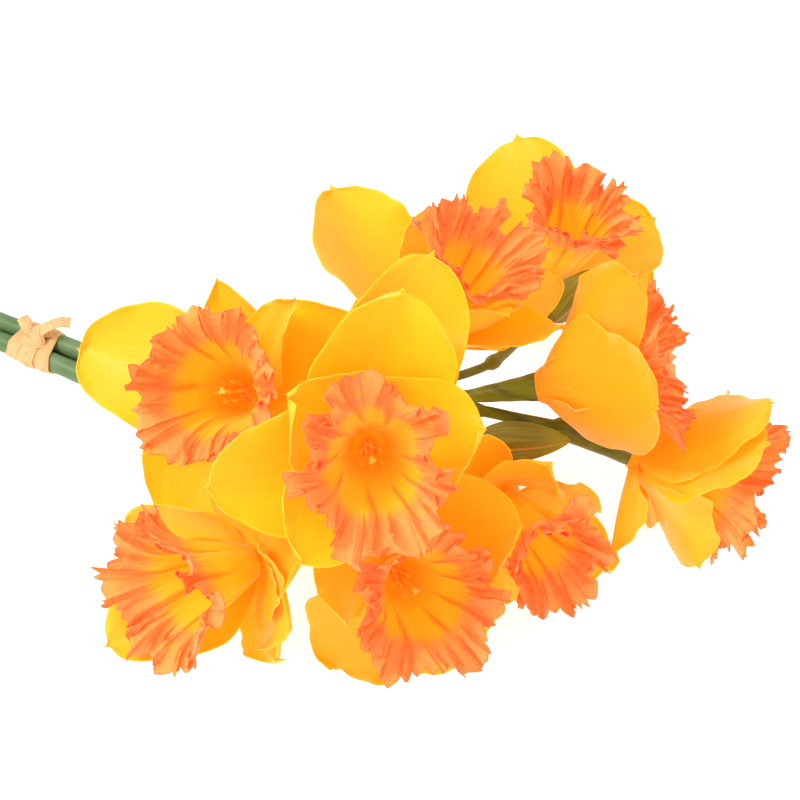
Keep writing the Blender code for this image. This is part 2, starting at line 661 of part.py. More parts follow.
def main():
    """Build the bunch."""
    clear_scene()
    home = bpy.data.collections.new("tied_daffodils")
    bpy.context.scene.collection.children.link(home)
    yellow = make_material("tepal_yellow", (1.0, 0.62, 0.02), 0.5)
    orange = make_material("corona_orange", (1.0, 0.25, 0.04), 0.5)
    cream = make_material("stamen_yellow", (1.0, 0.72, 0.15), 0.6)
    green = make_material("stem_green", (0.12, 0.22, 0.08), 0.45)
    olive = make_material("spathe_olive", (0.20, 0.17, 0.03), 0.5)
    straw = make_material("raffia", (0.90, 0.62, 0.36), 0.6)
    for stem in STEMS:
        make_stem(stem, green, home)
    for flower in FLOWERS:
        make_perianth(flower, yellow, home)
        make_corona(flower, orange, home)
        make_pistil(flower, cream, home)
    for spathe in SPATHES:
        make_spathe(spathe, olive, home)
    make_tie(straw, home)
    seat_on_table(home)


main()
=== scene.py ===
"""Dresses the tied bunch of daffodils: petals, ruffled trumpets, stamens, stems, bracts and the raffia tie.

Sizes are in millimetres and degrees in the flowers' own frames, where +Z is a flower's axis and the origin is
the top of its hub. Every mesh is stored in metres in the frame of the solids.
"""

import logging
import math
from dataclasses import dataclass, field
from enum import Enum

import bmesh
import bpy
import numpy as np
from bpy.types import Material, NodeSocket, Object
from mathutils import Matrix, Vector

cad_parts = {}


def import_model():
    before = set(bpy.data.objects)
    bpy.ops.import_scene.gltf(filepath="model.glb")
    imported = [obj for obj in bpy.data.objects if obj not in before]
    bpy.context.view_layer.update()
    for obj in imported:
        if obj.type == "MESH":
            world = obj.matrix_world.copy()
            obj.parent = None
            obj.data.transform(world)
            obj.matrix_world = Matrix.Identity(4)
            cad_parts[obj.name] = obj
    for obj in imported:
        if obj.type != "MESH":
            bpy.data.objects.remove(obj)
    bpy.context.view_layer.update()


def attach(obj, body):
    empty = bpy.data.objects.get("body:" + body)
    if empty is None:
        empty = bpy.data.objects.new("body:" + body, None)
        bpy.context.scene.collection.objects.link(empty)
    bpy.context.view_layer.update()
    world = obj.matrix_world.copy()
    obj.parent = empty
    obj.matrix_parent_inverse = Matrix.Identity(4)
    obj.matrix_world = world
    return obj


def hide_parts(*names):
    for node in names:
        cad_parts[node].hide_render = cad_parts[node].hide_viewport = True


LOG = logging.getLogger("daffodils")

Triple = tuple[float, float, float]     # a colour or a place

MM = 0.001
TURN = 2 * math.pi
# Where the solids' origin lies in the frame that the tables below are written in. The part's source works
# this shift out from the bunch's box, and it was copied from there.
FRAME_ORIGIN = Vector((-63.183, 5.186, 0.0))


class Slot(Enum):
    """The record's material slots."""

    TEPAL = "tepal_yellow"
    CORONA = "corona_orange"
    STAMEN = "stamen_yellow"
    STEM = "stem_green"
    SPATHE = "spathe_olive"
    RAFFIA = "raffia"


# ---- Node trees ----


class Graph:
    """A material's node tree, with short calls for the nodes that the finishes share."""

    def __init__(self, name: str) -> None:
        """Start a material with its Principled shader.

        Args:
            name: the material's name.
        """
        self.material = bpy.data.materials.new(name)
        self.material.use_nodes = True
        self.tree = self.material.node_tree
        self.shader = self.tree.nodes["Principled BSDF"]

    def put(self, target: NodeSocket, value: object) -> None:
        """Link a socket to an input, or set the input's own value.

        Args:
            target: the input.
            value: an output socket, a number or a tuple.
        """
        if isinstance(value, NodeSocket):
            self.tree.links.new(value, target)
        else:
            target.default_value = value

    def attribute(self, name: str) -> NodeSocket:
        """Read one of the mesh's own numbers.

        Args:
            name: the attribute's name.

        Returns:
            Its value.
        """
        node = self.tree.nodes.new("ShaderNodeAttribute")
        node.attribute_name = name
        return node.outputs["Fac"]

    def object_place(self) -> NodeSocket:
        """Object coordinates, in metres."""
        return self.tree.nodes.new("ShaderNodeTexCoord").outputs["Object"]

    def vector(self, x: object, y: object, z: object) -> NodeSocket:
        """Combine three numbers into a vector.

        Args:
            x: first part, a socket or a number.
            y: second part.
            z: third part.

        Returns:
            The vector.
        """
        node = self.tree.nodes.new("ShaderNodeCombineXYZ")
        for target, value in zip(node.inputs, (x, y, z)):
            self.put(target, value)
        return node.outputs[0]

    def stretch(self, vector: NodeSocket, scale: Triple) -> NodeSocket:
        """Scale a vector by axis.

        Args:
            vector: the vector.
            scale: its scale along each axis.

        Returns:
            The scaled vector.
        """
        node = self.tree.nodes.new("ShaderNodeMapping")
        self.put(node.inputs["Vector"], vector)
        node.inputs["Scale"].default_value = scale
        return node.outputs[0]

    def math(self, operation: str, first: object, second: object = 0.0) -> NodeSocket:
        """One arithmetic step.

        Args:
            operation: Blender's name for it.
            first: a socket or a number.
            second: a socket or a number.

        Returns:
            The result.
        """
        node = self.tree.nodes.new("ShaderNodeMath")
        node.operation = operation
        self.put(node.inputs[0], first)
        self.put(node.inputs[1], second)
        return node.outputs[0]

    def fit(self, value: object, low: float, high: float, start: float = 0.0, end: float = 1.0
            ) -> NodeSocket:
        """Map a range smoothly onto another, held at its ends.

        Args:
            value: the number to map.
            low: where the mapping begins.
            high: where it ends.
            start: what low becomes.
            end: what high becomes.

        Returns:
            The mapped number.
        """
        node = self.tree.nodes.new("ShaderNodeMapRange")
        node.interpolation_type = "SMOOTHSTEP"
        for name, number in (("Value", value), ("From Min", low), ("From Max", high), ("To Min", start),
                             ("To Max", end)):
            self.put(node.inputs[name], number)
        return node.outputs["Result"]

    def noise(self, vector: NodeSocket, scale: float, detail: float = 3.0, roughness: float = 0.5
              ) -> NodeSocket:
        """Soft random patches from 0 to 1.

        Args:
            vector: where it is read.
            scale: patches for each unit.
            detail: how many finer layers it has.
            roughness: how strong those layers are.

        Returns:
            The value.
        """
        node = self.tree.nodes.new("ShaderNodeTexNoise")
        self.put(node.inputs["Vector"], vector)
        node.inputs["Scale"].default_value = scale
        node.inputs["Detail"].default_value = detail
        node.inputs["Roughness"].default_value = roughness
        return node.outputs["Fac"]

    def mix(self, share: object, first: object, second: object) -> NodeSocket:
        """Mix two colours.

        Args:
            share: how much of the second shows, from 0 to 1.
            first: a colour, as a socket or red, green and blue.
            second: the other colour.

        Returns:
            The mixed colour.
        """
        node = self.tree.nodes.new("ShaderNodeMix")
        node.data_type = "RGBA"
        self.put(node.inputs["Factor"], share)
        for target, value in zip((node.inputs[6], node.inputs[7]), (first, second)):
            self.put(target, value if isinstance(value, NodeSocket) else (*value, 1.0))
        return node.outputs[2]

    def ramp(self, value: object, stops: tuple[tuple[float, Triple], ...]) -> NodeSocket:
        """Run through colours as a number grows.

        Args:
            value: the number, from 0 to 1.
            stops: each colour with the value where it is reached.

        Returns:
            The colour.
        """
        node = self.tree.nodes.new("ShaderNodeValToRGB")
        elements = node.color_ramp.elements
        for _ in stops[2:]:
            elements.new(0.5)
        for element, (place, colour) in zip(elements, stops):
            element.position = place
            element.color = (*colour, 1.0)
        self.put(node.inputs["Fac"], value)
        return node.outputs["Color"]

    def bump(self, height: object, distance: float, strength: float, under: object = None) -> NodeSocket:
        """Turn a height into a fine relief.

        Args:
            height: the height, from 0 to 1.
            distance: metres that a height of 1 stands for.
            strength: share of the relief that shows.
            under: another relief that this one lies on.

        Returns:
            The surface's normal.
        """
        node = self.tree.nodes.new("ShaderNodeBump")
        self.put(node.inputs["Height"], height)
        node.inputs["Distance"].default_value = distance
        node.inputs["Strength"].default_value = strength
        if under is not None:
            self.put(node.inputs["Normal"], under)
        return node.outputs["Normal"]

    def close(self, colour: object, roughness: object, normal: object) -> Material:
        """Fill the shader's main inputs.

        Args:
            colour: the base colour.
            roughness: the roughness.
            normal: the relief.

        Returns:
            The finished material.
        """
        self.put(self.shader.inputs["Base Color"], colour)
        self.put(self.shader.inputs["Roughness"], roughness)
        self.put(self.shader.inputs["Normal"], normal)
        return self.material

    def glow(self, colour: object, strength: object) -> None:
        """Let the surface shine a little by itself.

        Args:
            colour: the colour of its light.
            strength: how strong it is.
        """
        self.put(self.shader.inputs["Emission Color"], colour)
        self.put(self.shader.inputs["Emission Strength"], strength)

    def satin(self, specular: float) -> None:
        """Give the surface the soft sheen of a petal.

        Args:
            specular: how strongly it mirrors.
        """
        self.shader.inputs["Sheen Weight"].default_value = 0.15
        self.shader.inputs["Sheen Roughness"].default_value = 0.4
        self.shader.inputs["Specular IOR Level"].default_value = specular

    def soften(self, weight: float, radius: Triple, scale: float) -> None:
        """Let light spread a little under the surface.

        Args:
            weight: share of the light that does.
            radius: how far each colour spreads, relative to scale.
            scale: the spread, in metres.
        """
        self.shader.inputs["Subsurface Weight"].default_value = weight
        self.shader.inputs["Subsurface Radius"].default_value = radius
        self.shader.inputs["Subsurface Scale"].default_value = scale


# ---- Finishes ----


@dataclass(frozen=True)
class TepalFinish:
    """Satin yellow petal: deeper at its root, with painted light along its thin edge and fine veins along it.

    A petal's tone takes it from light yellow, at 0, to the deep colour, at 1; it is its flower's painted
    shade plus a random difference in colour.
    """

    root: Triple = (0.98, 0.40, 0.002)
    middle: Triple = (0.98, 0.54, 0.006)
    tip: Triple = (0.98, 0.56, 0.010)
    edge: Triple = (0.98, 0.66, 0.030)
    deep: Triple = (0.98, 0.34, 0.002)
    glow: float = 0.18
    veins_across: float = 13.0
    vein_height: float = 0.00025

    def material(self) -> Material:
        """Build the material.

        Returns:
            The material, which reads the mesh's along, across and tone.
        """
        graph = Graph("tepal_yellow_satin")
        along, across, tone = (graph.attribute(name) for name in ("along", "across", "tone"))
        colour = graph.ramp(along, ((0.0, self.root), (0.35, self.middle), (1.0, self.tip)))
        offset = graph.math("MULTIPLY", tone, 17.0)
        lengthwise = graph.vector(graph.math("MULTIPLY", across, self.veins_across), along, offset)
        veins = graph.noise(graph.stretch(lengthwise, (1.0, 1.3, 1.0)), 1.0, 2.0, 0.6)
        colour = graph.mix(graph.fit(veins, 0.42, 0.75, 0.0, 0.16), colour, self.deep)
        patches = graph.noise(graph.object_place(), 34.0, 2.0)
        colour = graph.mix(graph.fit(patches, 0.40, 0.75, 0.0, 0.32), colour, self.deep)
        # painted shade: the tone deepens each flower's petals towards orange, with a random difference in
        # colour on top
        colour = graph.mix(tone, colour, self.deep)
        # painted light: the thin edge and the tip are lightened, standing in for light that shines through
        # them
        rim = graph.math("MAXIMUM", graph.fit(graph.math("ABSOLUTE", across), 0.93, 1.0),
                         graph.fit(along, 0.975, 1.0))
        colour = graph.mix(graph.math("MULTIPLY", rim, 0.2), colour, self.edge)
        # a glow of its own stands in for the daylight that comes through the thin petal
        graph.glow(colour, self.glow)
        grain = graph.noise(graph.object_place(), 900.0, 2.0)
        normal = graph.bump(grain, 0.00004, 0.5)
        normal = graph.bump(veins, self.vein_height, 0.8, normal)
        graph.soften(0.40, (1.0, 0.60, 0.12), 0.0025)
        graph.satin(0.35)
        return graph.close(colour, graph.fit(grain, 0.3, 0.7, 0.42, 0.55), normal)


@dataclass(frozen=True)
class CoronaFinish:
    """Orange trumpet: deep throat, yellow-orange bowl, peach rim with painted highlights on its ridges,
    darker teeth, and folds darkened partly in their own colour and partly by painted shade.
    """

    throat: Triple = (0.98, 0.24, 0.002)
    bowl: Triple = (0.98, 0.46, 0.010)
    wall: Triple = (0.98, 0.45, 0.022)
    rim: Triple = (0.98, 0.315, 0.072)
    edge: Triple = (0.90, 0.13, 0.016)
    crease: Triple = (0.90, 0.11, 0.006)
    glow: float = 0.42
    rim_glow: float = 0.16

    def material(self) -> Material:
        """Build the material.

        Returns:
            The material, which reads the mesh's along, frill and crease.
        """
        graph = Graph("corona_orange_satin")
        along, frill, crease = (graph.attribute(name) for name in ("along", "frill", "crease"))
        colour = graph.ramp(along, ((0.0, self.throat), (0.30, self.bowl), (0.75, self.wall)))
        # the peach rim is the trumpet's own colour; the mask carries it further down the ridge tops as a
        # painted highlight
        colour = graph.mix(frill, colour, self.rim)
        patches = graph.noise(graph.object_place(), 160.0, 3.0)
        colour = graph.mix(graph.fit(patches, 0.50, 0.75, 0.0, 0.45), colour, self.bowl)
        # the creases darken, partly in the trumpet's own deeper orange and partly as painted shade
        colour = graph.mix(graph.fit(crease, 0.20, 0.9, 0.0, 0.75), colour, self.crease)
        colour = graph.mix(graph.fit(along, 0.955, 1.0, 0.0, 0.7), colour, self.edge)
        # a glow stands in for the daylight that the thin wall lets through, most of all in the throat
        graph.glow(colour, graph.fit(along, 0.0, 0.7, self.glow, self.rim_glow))
        grain = graph.noise(graph.object_place(), 1100.0, 2.0)
        crepe = graph.noise(graph.object_place(), 330.0, 3.0, 0.6)
        normal = graph.bump(grain, 0.00005, 0.5)
        normal = graph.bump(graph.math("MULTIPLY", crepe, graph.fit(along, 0.45, 0.8)), 0.0013, 0.8, normal)
        graph.soften(0.15, (1.0, 0.50, 0.15), 0.002)
        graph.satin(0.3)
        return graph.close(colour, graph.fit(grain, 0.3, 0.7, 0.48, 0.62), normal)


@dataclass(frozen=True)
class PollenFinish:
    """Powdery yellow of the anthers, the filaments and the style, with darker grains."""

    yellow: Triple = (0.98, 0.60, 0.08)
    grain: Triple = (0.80, 0.28, 0.01)

    def material(self) -> Material:
        """Build the material.

        Returns:
            The material.
        """
        graph = Graph("stamen_yellow_powder")
        grains = graph.noise(graph.object_place(), 2600.0, 3.0, 0.7)
        colour = graph.mix(graph.fit(grains, 0.5, 0.8, 0.0, 0.5), self.yellow, self.grain)
        normal = graph.bump(grains, 0.00016, 0.8)
        return graph.close(colour, 0.75, normal)


@dataclass(frozen=True)
class StemFinish:
    """Smooth green stem with a waxy bloom, turning olive where it widens behind a flower."""

    green: Triple = (0.100, 0.185, 0.060)
    bloom: Triple = (0.18, 0.28, 0.13)
    olive: Triple = (0.175, 0.225, 0.005)
    dark: Triple = (0.060, 0.085, 0.006)

    def material(self) -> Material:
        """Build the material.

        Returns:
            The material, which reads the mesh's neck, from 0 on a main stem to 1 behind a flower.
        """
        graph = Graph("stem_green_waxy")
        neck = graph.attribute("neck")
        streak = graph.noise(graph.stretch(graph.object_place(), (30.0, 260.0, 260.0)), 1.0, 3.0, 0.6)
        patch = graph.noise(graph.object_place(), 45.0, 3.0)
        colour = graph.mix(graph.fit(patch, 0.35, 0.70), self.green, self.bloom)
        colour = graph.mix(graph.fit(streak, 0.52, 0.78, 0.0, 0.35), colour, self.olive)
        olive = graph.mix(graph.fit(streak, 0.40, 0.75), self.olive, self.dark)
        colour = graph.mix(graph.fit(neck, 0.15, 0.6), colour, olive)
        grain = graph.noise(graph.object_place(), 1500.0, 2.0)
        normal = graph.bump(streak, 0.0003, 0.6)
        normal = graph.bump(grain, 0.00004, 0.5, normal)
        graph.shader.inputs["Specular IOR Level"].default_value = 0.4
        return graph.close(colour, graph.fit(patch, 0.3, 0.7, 0.38, 0.55), normal)


@dataclass(frozen=True)
class SpatheFinish:
    """Papery olive-brown bract with a pale midrib and veins along it, greener at its tip."""

    brown: Triple = (0.20, 0.195, 0.006)
    olive: Triple = (0.36, 0.42, 0.015)
    midrib: Triple = (0.55, 0.33, 0.05)

    def material(self) -> Material:
        """Build the material.

        Returns:
            The material, which reads the mesh's along and across.
        """
        graph = Graph("spathe_olive_papery")
        along, across = graph.attribute("along"), graph.attribute("across")
        lengthwise = graph.stretch(graph.vector(across, along, 0.0), (9.0, 1.5, 1.0))
        veins = graph.noise(lengthwise, 1.0, 3.0, 0.6)
        colour = graph.mix(graph.fit(along, 0.55, 1.0, 0.0, 0.9), self.brown, self.olive)
        colour = graph.mix(graph.fit(veins, 0.45, 0.70, 0.0, 0.6), colour, self.olive)
        rib = graph.fit(graph.math("ABSOLUTE", graph.math("SUBTRACT", across, 0.3)), 0.10, 0.02)
        colour = graph.mix(graph.math("MULTIPLY", rib, 0.8), colour, self.midrib)
        normal = graph.bump(veins, 0.0005, 0.8)
        return graph.close(colour, 0.5, normal)


@dataclass(frozen=True)
class RaffiaFinish:
    """Straw-coloured flat fibre with lengthwise grooves and darker creases."""

    straw: Triple = (0.72, 0.42, 0.15)
    pale: Triple = (0.80, 0.54, 0.25)
    crease: Triple = (0.58, 0.25, 0.06)

    def material(self) -> Material:
        """Build the material.

        Returns:
            The material, which reads the mesh's along, across and tone.
        """
        graph = Graph("raffia_straw")
        along, across, tone = (graph.attribute(name) for name in ("along", "across", "tone"))
        place = graph.vector(graph.math("MULTIPLY", across, 5.0), graph.math("MULTIPLY", along, 3.0),
                             graph.math("MULTIPLY", tone, 23.0))
        fibres = graph.noise(place, 1.0, 4.0, 0.65)
        colour = graph.mix(graph.fit(fibres, 0.35, 0.65), self.straw, self.pale)
        colour = graph.mix(graph.fit(fibres, 0.62, 0.80, 0.0, 0.7), colour, self.crease)
        rim = graph.fit(graph.math("ABSOLUTE", across), 0.86, 1.0, 0.0, 0.55)
        colour = graph.mix(rim, colour, self.crease)
        normal = graph.bump(fibres, 0.0006, 0.8)
        return graph.close(colour, 0.55, normal)


# ---- Mesh helpers ----


class Shape:
    """A bmesh under construction, in millimetres, with the numbers that its finish reads."""

    def __init__(self, *marks: str) -> None:
        """Start an empty shape.

        Args:
            marks: names of the numbers kept at each vertex.
        """
        self.mesh = bmesh.new()
        self.layers = {mark: self.mesh.verts.layers.float.new(mark) for mark in marks}

    def grid(self, rows: int, columns: int) -> tuple[list, np.ndarray, np.ndarray]:
        """Add a flat grid to be bent into place.

        Args:
            rows: faces along it.
            columns: faces across it.

        Returns:
            Its vertices, each one's share along from 0 to 1, and its place across from -1 to 1.
        """
        made = bmesh.ops.create_grid(self.mesh, x_segments=columns, y_segments=rows, size=0.5)["verts"]
        flat = np.array([vertex.co[:2] for vertex in made])
        return made, flat[:, 1] + 0.5, 2 * flat[:, 0]

    def place(self, vertices: list, points: np.ndarray, **marks: object) -> None:
        """Move vertices and set their numbers.

        Args:
            vertices: the vertices.
            points: a place for each.
            marks: for each name, a number for each vertex or one for all.
        """
        for vertex, point in zip(vertices, points):
            vertex.co = point
        for mark, values in marks.items():
            layer = self.layers[mark]
            for vertex, value in zip(vertices, np.broadcast_to(values, len(vertices))):
                vertex[layer] = value

    def weld(self, vertices: list, distance: float = 0.001) -> None:
        """Merge vertices that coincide.

        Args:
            vertices: the vertices.
            distance: how near they are, in millimetres.
        """
        bmesh.ops.remove_doubles(self.mesh, verts=vertices, dist=distance)

    def finish(self, name: str, material: Material, slot: Slot, node: str,
               thickness: float = 0.0, sharp: float = 50.0) -> Object:
        """Turn the shape into a piece that stands for its solid.

        Args:
            name: the piece's name.
            material: its finish.
            slot: the record's material slot, which is not used.
            node: the solid that it replaces.
            thickness: what an open surface is thickened by, in millimetres.
            sharp: the angle past which an edge shows as one.

        Returns:
            The piece.
        """
        bmesh.ops.translate(self.mesh, vec=-FRAME_ORIGIN, verts=self.mesh.verts)
        bmesh.ops.scale(self.mesh, vec=(MM, MM, MM), verts=self.mesh.verts)
        data = bpy.data.meshes.new(name)
        self.mesh.to_mesh(data)
        self.mesh.free()
        piece = bpy.data.objects.new(name, data)
        bpy.context.scene.collection.objects.link(piece)
        if thickness:
            wall = piece.modifiers.new("wall", "SOLIDIFY")
            wall.thickness = thickness * MM
            wall.offset = 0.0
            graph = bpy.context.evaluated_depsgraph_get()
            baked = bpy.data.meshes.new_from_object(piece.evaluated_get(graph))
            piece.modifiers.clear()
            piece.data = baked
            bpy.data.meshes.remove(data)
            baked.name = name
        piece.data.materials.clear()
        piece.data.materials.append(material)
        piece.data.shade_smooth()
        piece.data.set_sharp_from_angle(angle=math.radians(sharp))
        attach(piece, "root")
        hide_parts(node)
        return piece


def ramp_up(value: np.ndarray, start: float, run: float) -> np.ndarray:
    """Climb straight from 0 to 1.

    Args:
        value: what is read.
        start: where the climb begins.
        run: how long it is.

    Returns:
        The share of the climb, held at 0 and 1 outside it.
    """
    return np.clip((value - start) / run, 0, 1)


def bell(value: np.ndarray, width: float) -> np.ndarray:
    """Peak smoothly at 0.

    Args:
        value: what is read.
        width: how far from 0 the bell falls to about a third.

    Returns:
        1 at 0, and less on both sides.
    """
    return np.exp(-(value / width) ** 2)


def waves(angle: np.ndarray, heights_and_counts: tuple, phases: np.ndarray) -> np.ndarray:
    """Add up waves round a circle.

    Args:
        angle: where they are read, in radians.
        heights_and_counts: each wave's height, and how many of it go round.
        phases: where each wave starts.

    Returns:
        Their sum.
    """
    return sum(height * np.sin(count * angle + phase)
               for (height, count), phase in zip(heights_and_counts, phases))


def turned(x: np.ndarray, y: np.ndarray, angle: float) -> tuple[np.ndarray, np.ndarray]:
    """Turn level places about the middle.

    Args:
        x: their first parts.
        y: their second parts.
        angle: the turn, in radians.

    Returns:
        The first and second parts after it.
    """
    return x * math.cos(angle) - y * math.sin(angle), x * math.sin(angle) + y * math.cos(angle)


def polar(radius: np.ndarray, angle: np.ndarray, height: np.ndarray) -> np.ndarray:
    """Place points round an axis.

    Args:
        radius: their distances from it.
        angle: their directions.
        height: their places along it.

    Returns:
        The points, one in each row.
    """
    return np.stack((radius * np.cos(angle), radius * np.sin(angle), height), axis=1)


def smooth_path(points: tuple, step: float) -> list[Vector]:
    """Run a smooth curve through points.

    Args:
        points: the places that it passes.
        step: about how far apart its own points are.

    Returns:
        The curve's points.
    """
    knots = [Vector(p) for p in points]
    ends = [knots[0] * 2 - knots[1], *knots, knots[-1] * 2 - knots[-2]]
    path = []
    for before, start, end, after in zip(ends, ends[1:], ends[2:], ends[3:]):
        span = (end - start).length
        count = max(1, round(span / step))
        leave = (end - before).normalized() * span
        arrive = (after - start).normalized() * span
        for index in range(count):
            t = index / count
            path.append(start * (2 * t ** 3 - 3 * t ** 2 + 1) + leave * (t ** 3 - 2 * t ** 2 + t)
                        + end * (3 * t ** 2 - 2 * t ** 3) + arrive * (t ** 3 - t ** 2))
    return [*path, knots[-1]]


def frames_along(path: np.ndarray) -> tuple[np.ndarray, np.ndarray, np.ndarray]:
    """Carry a level pair of side directions along a path.

    Args:
        path: the path's points.

    Returns:
        The path's direction and two directions across it, at each point.
    """
    along = np.gradient(path, axis=0)
    along /= np.linalg.norm(along, axis=1, keepdims=True)
    side = np.cross((0.0, 0.0, 1.0), along[0])
    if np.linalg.norm(side) < 0.1:
        side = np.cross((0.0, 1.0, 0.0), along[0])
    sides = []
    for direction in along:
        side = side - direction * side.dot(direction)
        side = side / np.linalg.norm(side)
        sides.append(side)
    sides = np.array(sides)
    return along, sides, np.cross(along, sides)


# ---- Flowers ----


@dataclass(frozen=True)
class Tepal:
    """One petal: where it grows round the flower, how it leans up from level, its size and its bends."""

    around: float
    lean: float
    length: float
    width: float
    twist: float = 0.0
    curl: float = 0.0
    cup: float = 0.2
    fold: float = 0.0
    sweep: float = 0.0
    root: float = 0.75


@dataclass(frozen=True)
class Head:
    """Where a flower sits, which way it faces, its trumpet's size and its petals."""

    number: int
    base: Triple
    heading: float
    rise: float
    tepals: tuple[Tepal, ...]
    mouth: float = 1.0
    length: float = 45.0
    oval: float = 0.1
    oval_at: float = 90.0
    # how far this flower's petals and hub are deepened towards orange: painted shade, standing in for the
    # shade that falls on them
    painted_shade: float = 0.1

    def axes(self) -> np.ndarray:
        """The flower's across, upper side and axis directions, as columns."""
        heading, rise = math.radians(self.heading), math.radians(self.rise)
        axis = np.array((math.cos(heading) * math.cos(rise), math.sin(heading) * math.cos(rise),
                         math.sin(rise)))
        across = np.array((-math.sin(heading), math.cos(heading), 0.0))
        return np.stack((across, np.cross(axis, across), axis), axis=1)

    def to_bunch(self, points: np.ndarray) -> np.ndarray:
        """Take points from the flower's frame to the bunch's.

        Args:
            points: places in the flower's frame, one in each row.

        Returns:
            The same places in the bunch's frame.
        """
        return points @ self.axes().T + np.array(self.base)


# Not a hand-made table: most of its places, directions, angles and twists were worked out by scratch
# scripts, as report.md tells. The lengths and widths were chosen.
HEADS = (
    Head(1, (-49, -25, 66), -93, 55, mouth=0.98, oval=0.06, painted_shade=0.2, tepals=(
        Tepal(190, 0, 62, 48, twist=10), Tepal(124, 22, 38, 24, twist=35),
        Tepal(74, 38, 46, 26, twist=-25, fold=8), Tepal(46, 16, 52, 44),
        Tepal(262, -8, 54, 46, twist=-10), Tepal(305, 45, 26, 34))),
    Head(2, (6, -37, 86), -59, 47, oval=0.14, painted_shade=0.15, tepals=(
        Tepal(76, 25, 58, 50), Tepal(138, 45, 42, 46, twist=10), Tepal(187, 20, 54, 46, twist=-10),
        Tepal(230, 45, 50, 40), Tepal(68, 0, 64, 46), Tepal(12, 40, 44, 46, twist=-20))),
    Head(3, (-22, -73, 42), -118, 23, oval=0.04, oval_at=0, painted_shade=0.4, tepals=(
        Tepal(255, 55, 58, 42), Tepal(205, 25, 50, 32), Tepal(125, -14, 36, 40),
        Tepal(50, 20, 40, 40, twist=-20), Tepal(20, 28, 42, 36), Tepal(350, 25, 36, 34))),
    Head(4, (25, -55, 42), -42, 42, mouth=0.95, oval=0.04, oval_at=60, painted_shade=0.5, tepals=(
        Tepal(233, -25, 43, 44, twist=40), Tepal(140, 40, 44, 42), Tepal(90, -10, 34, 36),
        Tepal(20, 40, 54, 50, twist=-50, curl=15), Tepal(320, -5, 40, 38), Tepal(290, -5, 42, 40))),
    Head(5, (48, -14, 48), -37, 17, mouth=0.72, length=42, painted_shade=0.4, tepals=(
        Tepal(75, 45, 38, 32, twist=-50), Tepal(322, 0, 42, 26), Tepal(300, 25, 46, 38),
        Tepal(270, 5, 46, 38), Tepal(200, 40, 18, 26), Tepal(125, 0, 36, 36))),
    Head(6, (0, 21, 75), 53, 58, mouth=0.88, oval_at=100, painted_shade=0.2, tepals=(
        Tepal(36, 12, 60, 64, sweep=-25), Tepal(88, -5, 28, 34), Tepal(180, 64, 44, 42),
        Tepal(218, 48, 50, 24, twist=20), Tepal(272, 35, 52, 42), Tepal(345, 48, 44, 38))),
    Head(7, (21, 88, 36), 56, 73, mouth=0.76, length=42, oval_at=0, painted_shade=0.25, tepals=(
        Tepal(350, 30, 54, 50, twist=-50), Tepal(40, -5, 44, 40), Tepal(68, -12, 40, 34),
        Tepal(90, 0, 36, 30), Tepal(264, -12, 46, 42, twist=40), Tepal(280, 12, 50, 42, twist=25))),
    Head(8, (48, 21, 73), 25, 16, mouth=0.90, length=47, painted_shade=1.0, tepals=(
        Tepal(145, 55, 54, 54, cup=0.25), Tepal(68, 50, 54, 42, twist=60, root=0.1), Tepal(15, 50, 26, 32),
        Tepal(315, 40, 34, 38), Tepal(222, 62, 42, 34), Tepal(280, 65, 24, 20))),
    Head(9, (84, 25, 46), 12, -14, mouth=0.92, painted_shade=0.4, tepals=(
        Tepal(75, 42, 52, 41), Tepal(94, 48, 50, 38), Tepal(184, 0, 43, 20, fold=20),
        Tepal(230, 54, 44, 50, twist=-30, sweep=-30), Tepal(290, 30, 50, 42), Tepal(345, 40, 48, 40))),
)


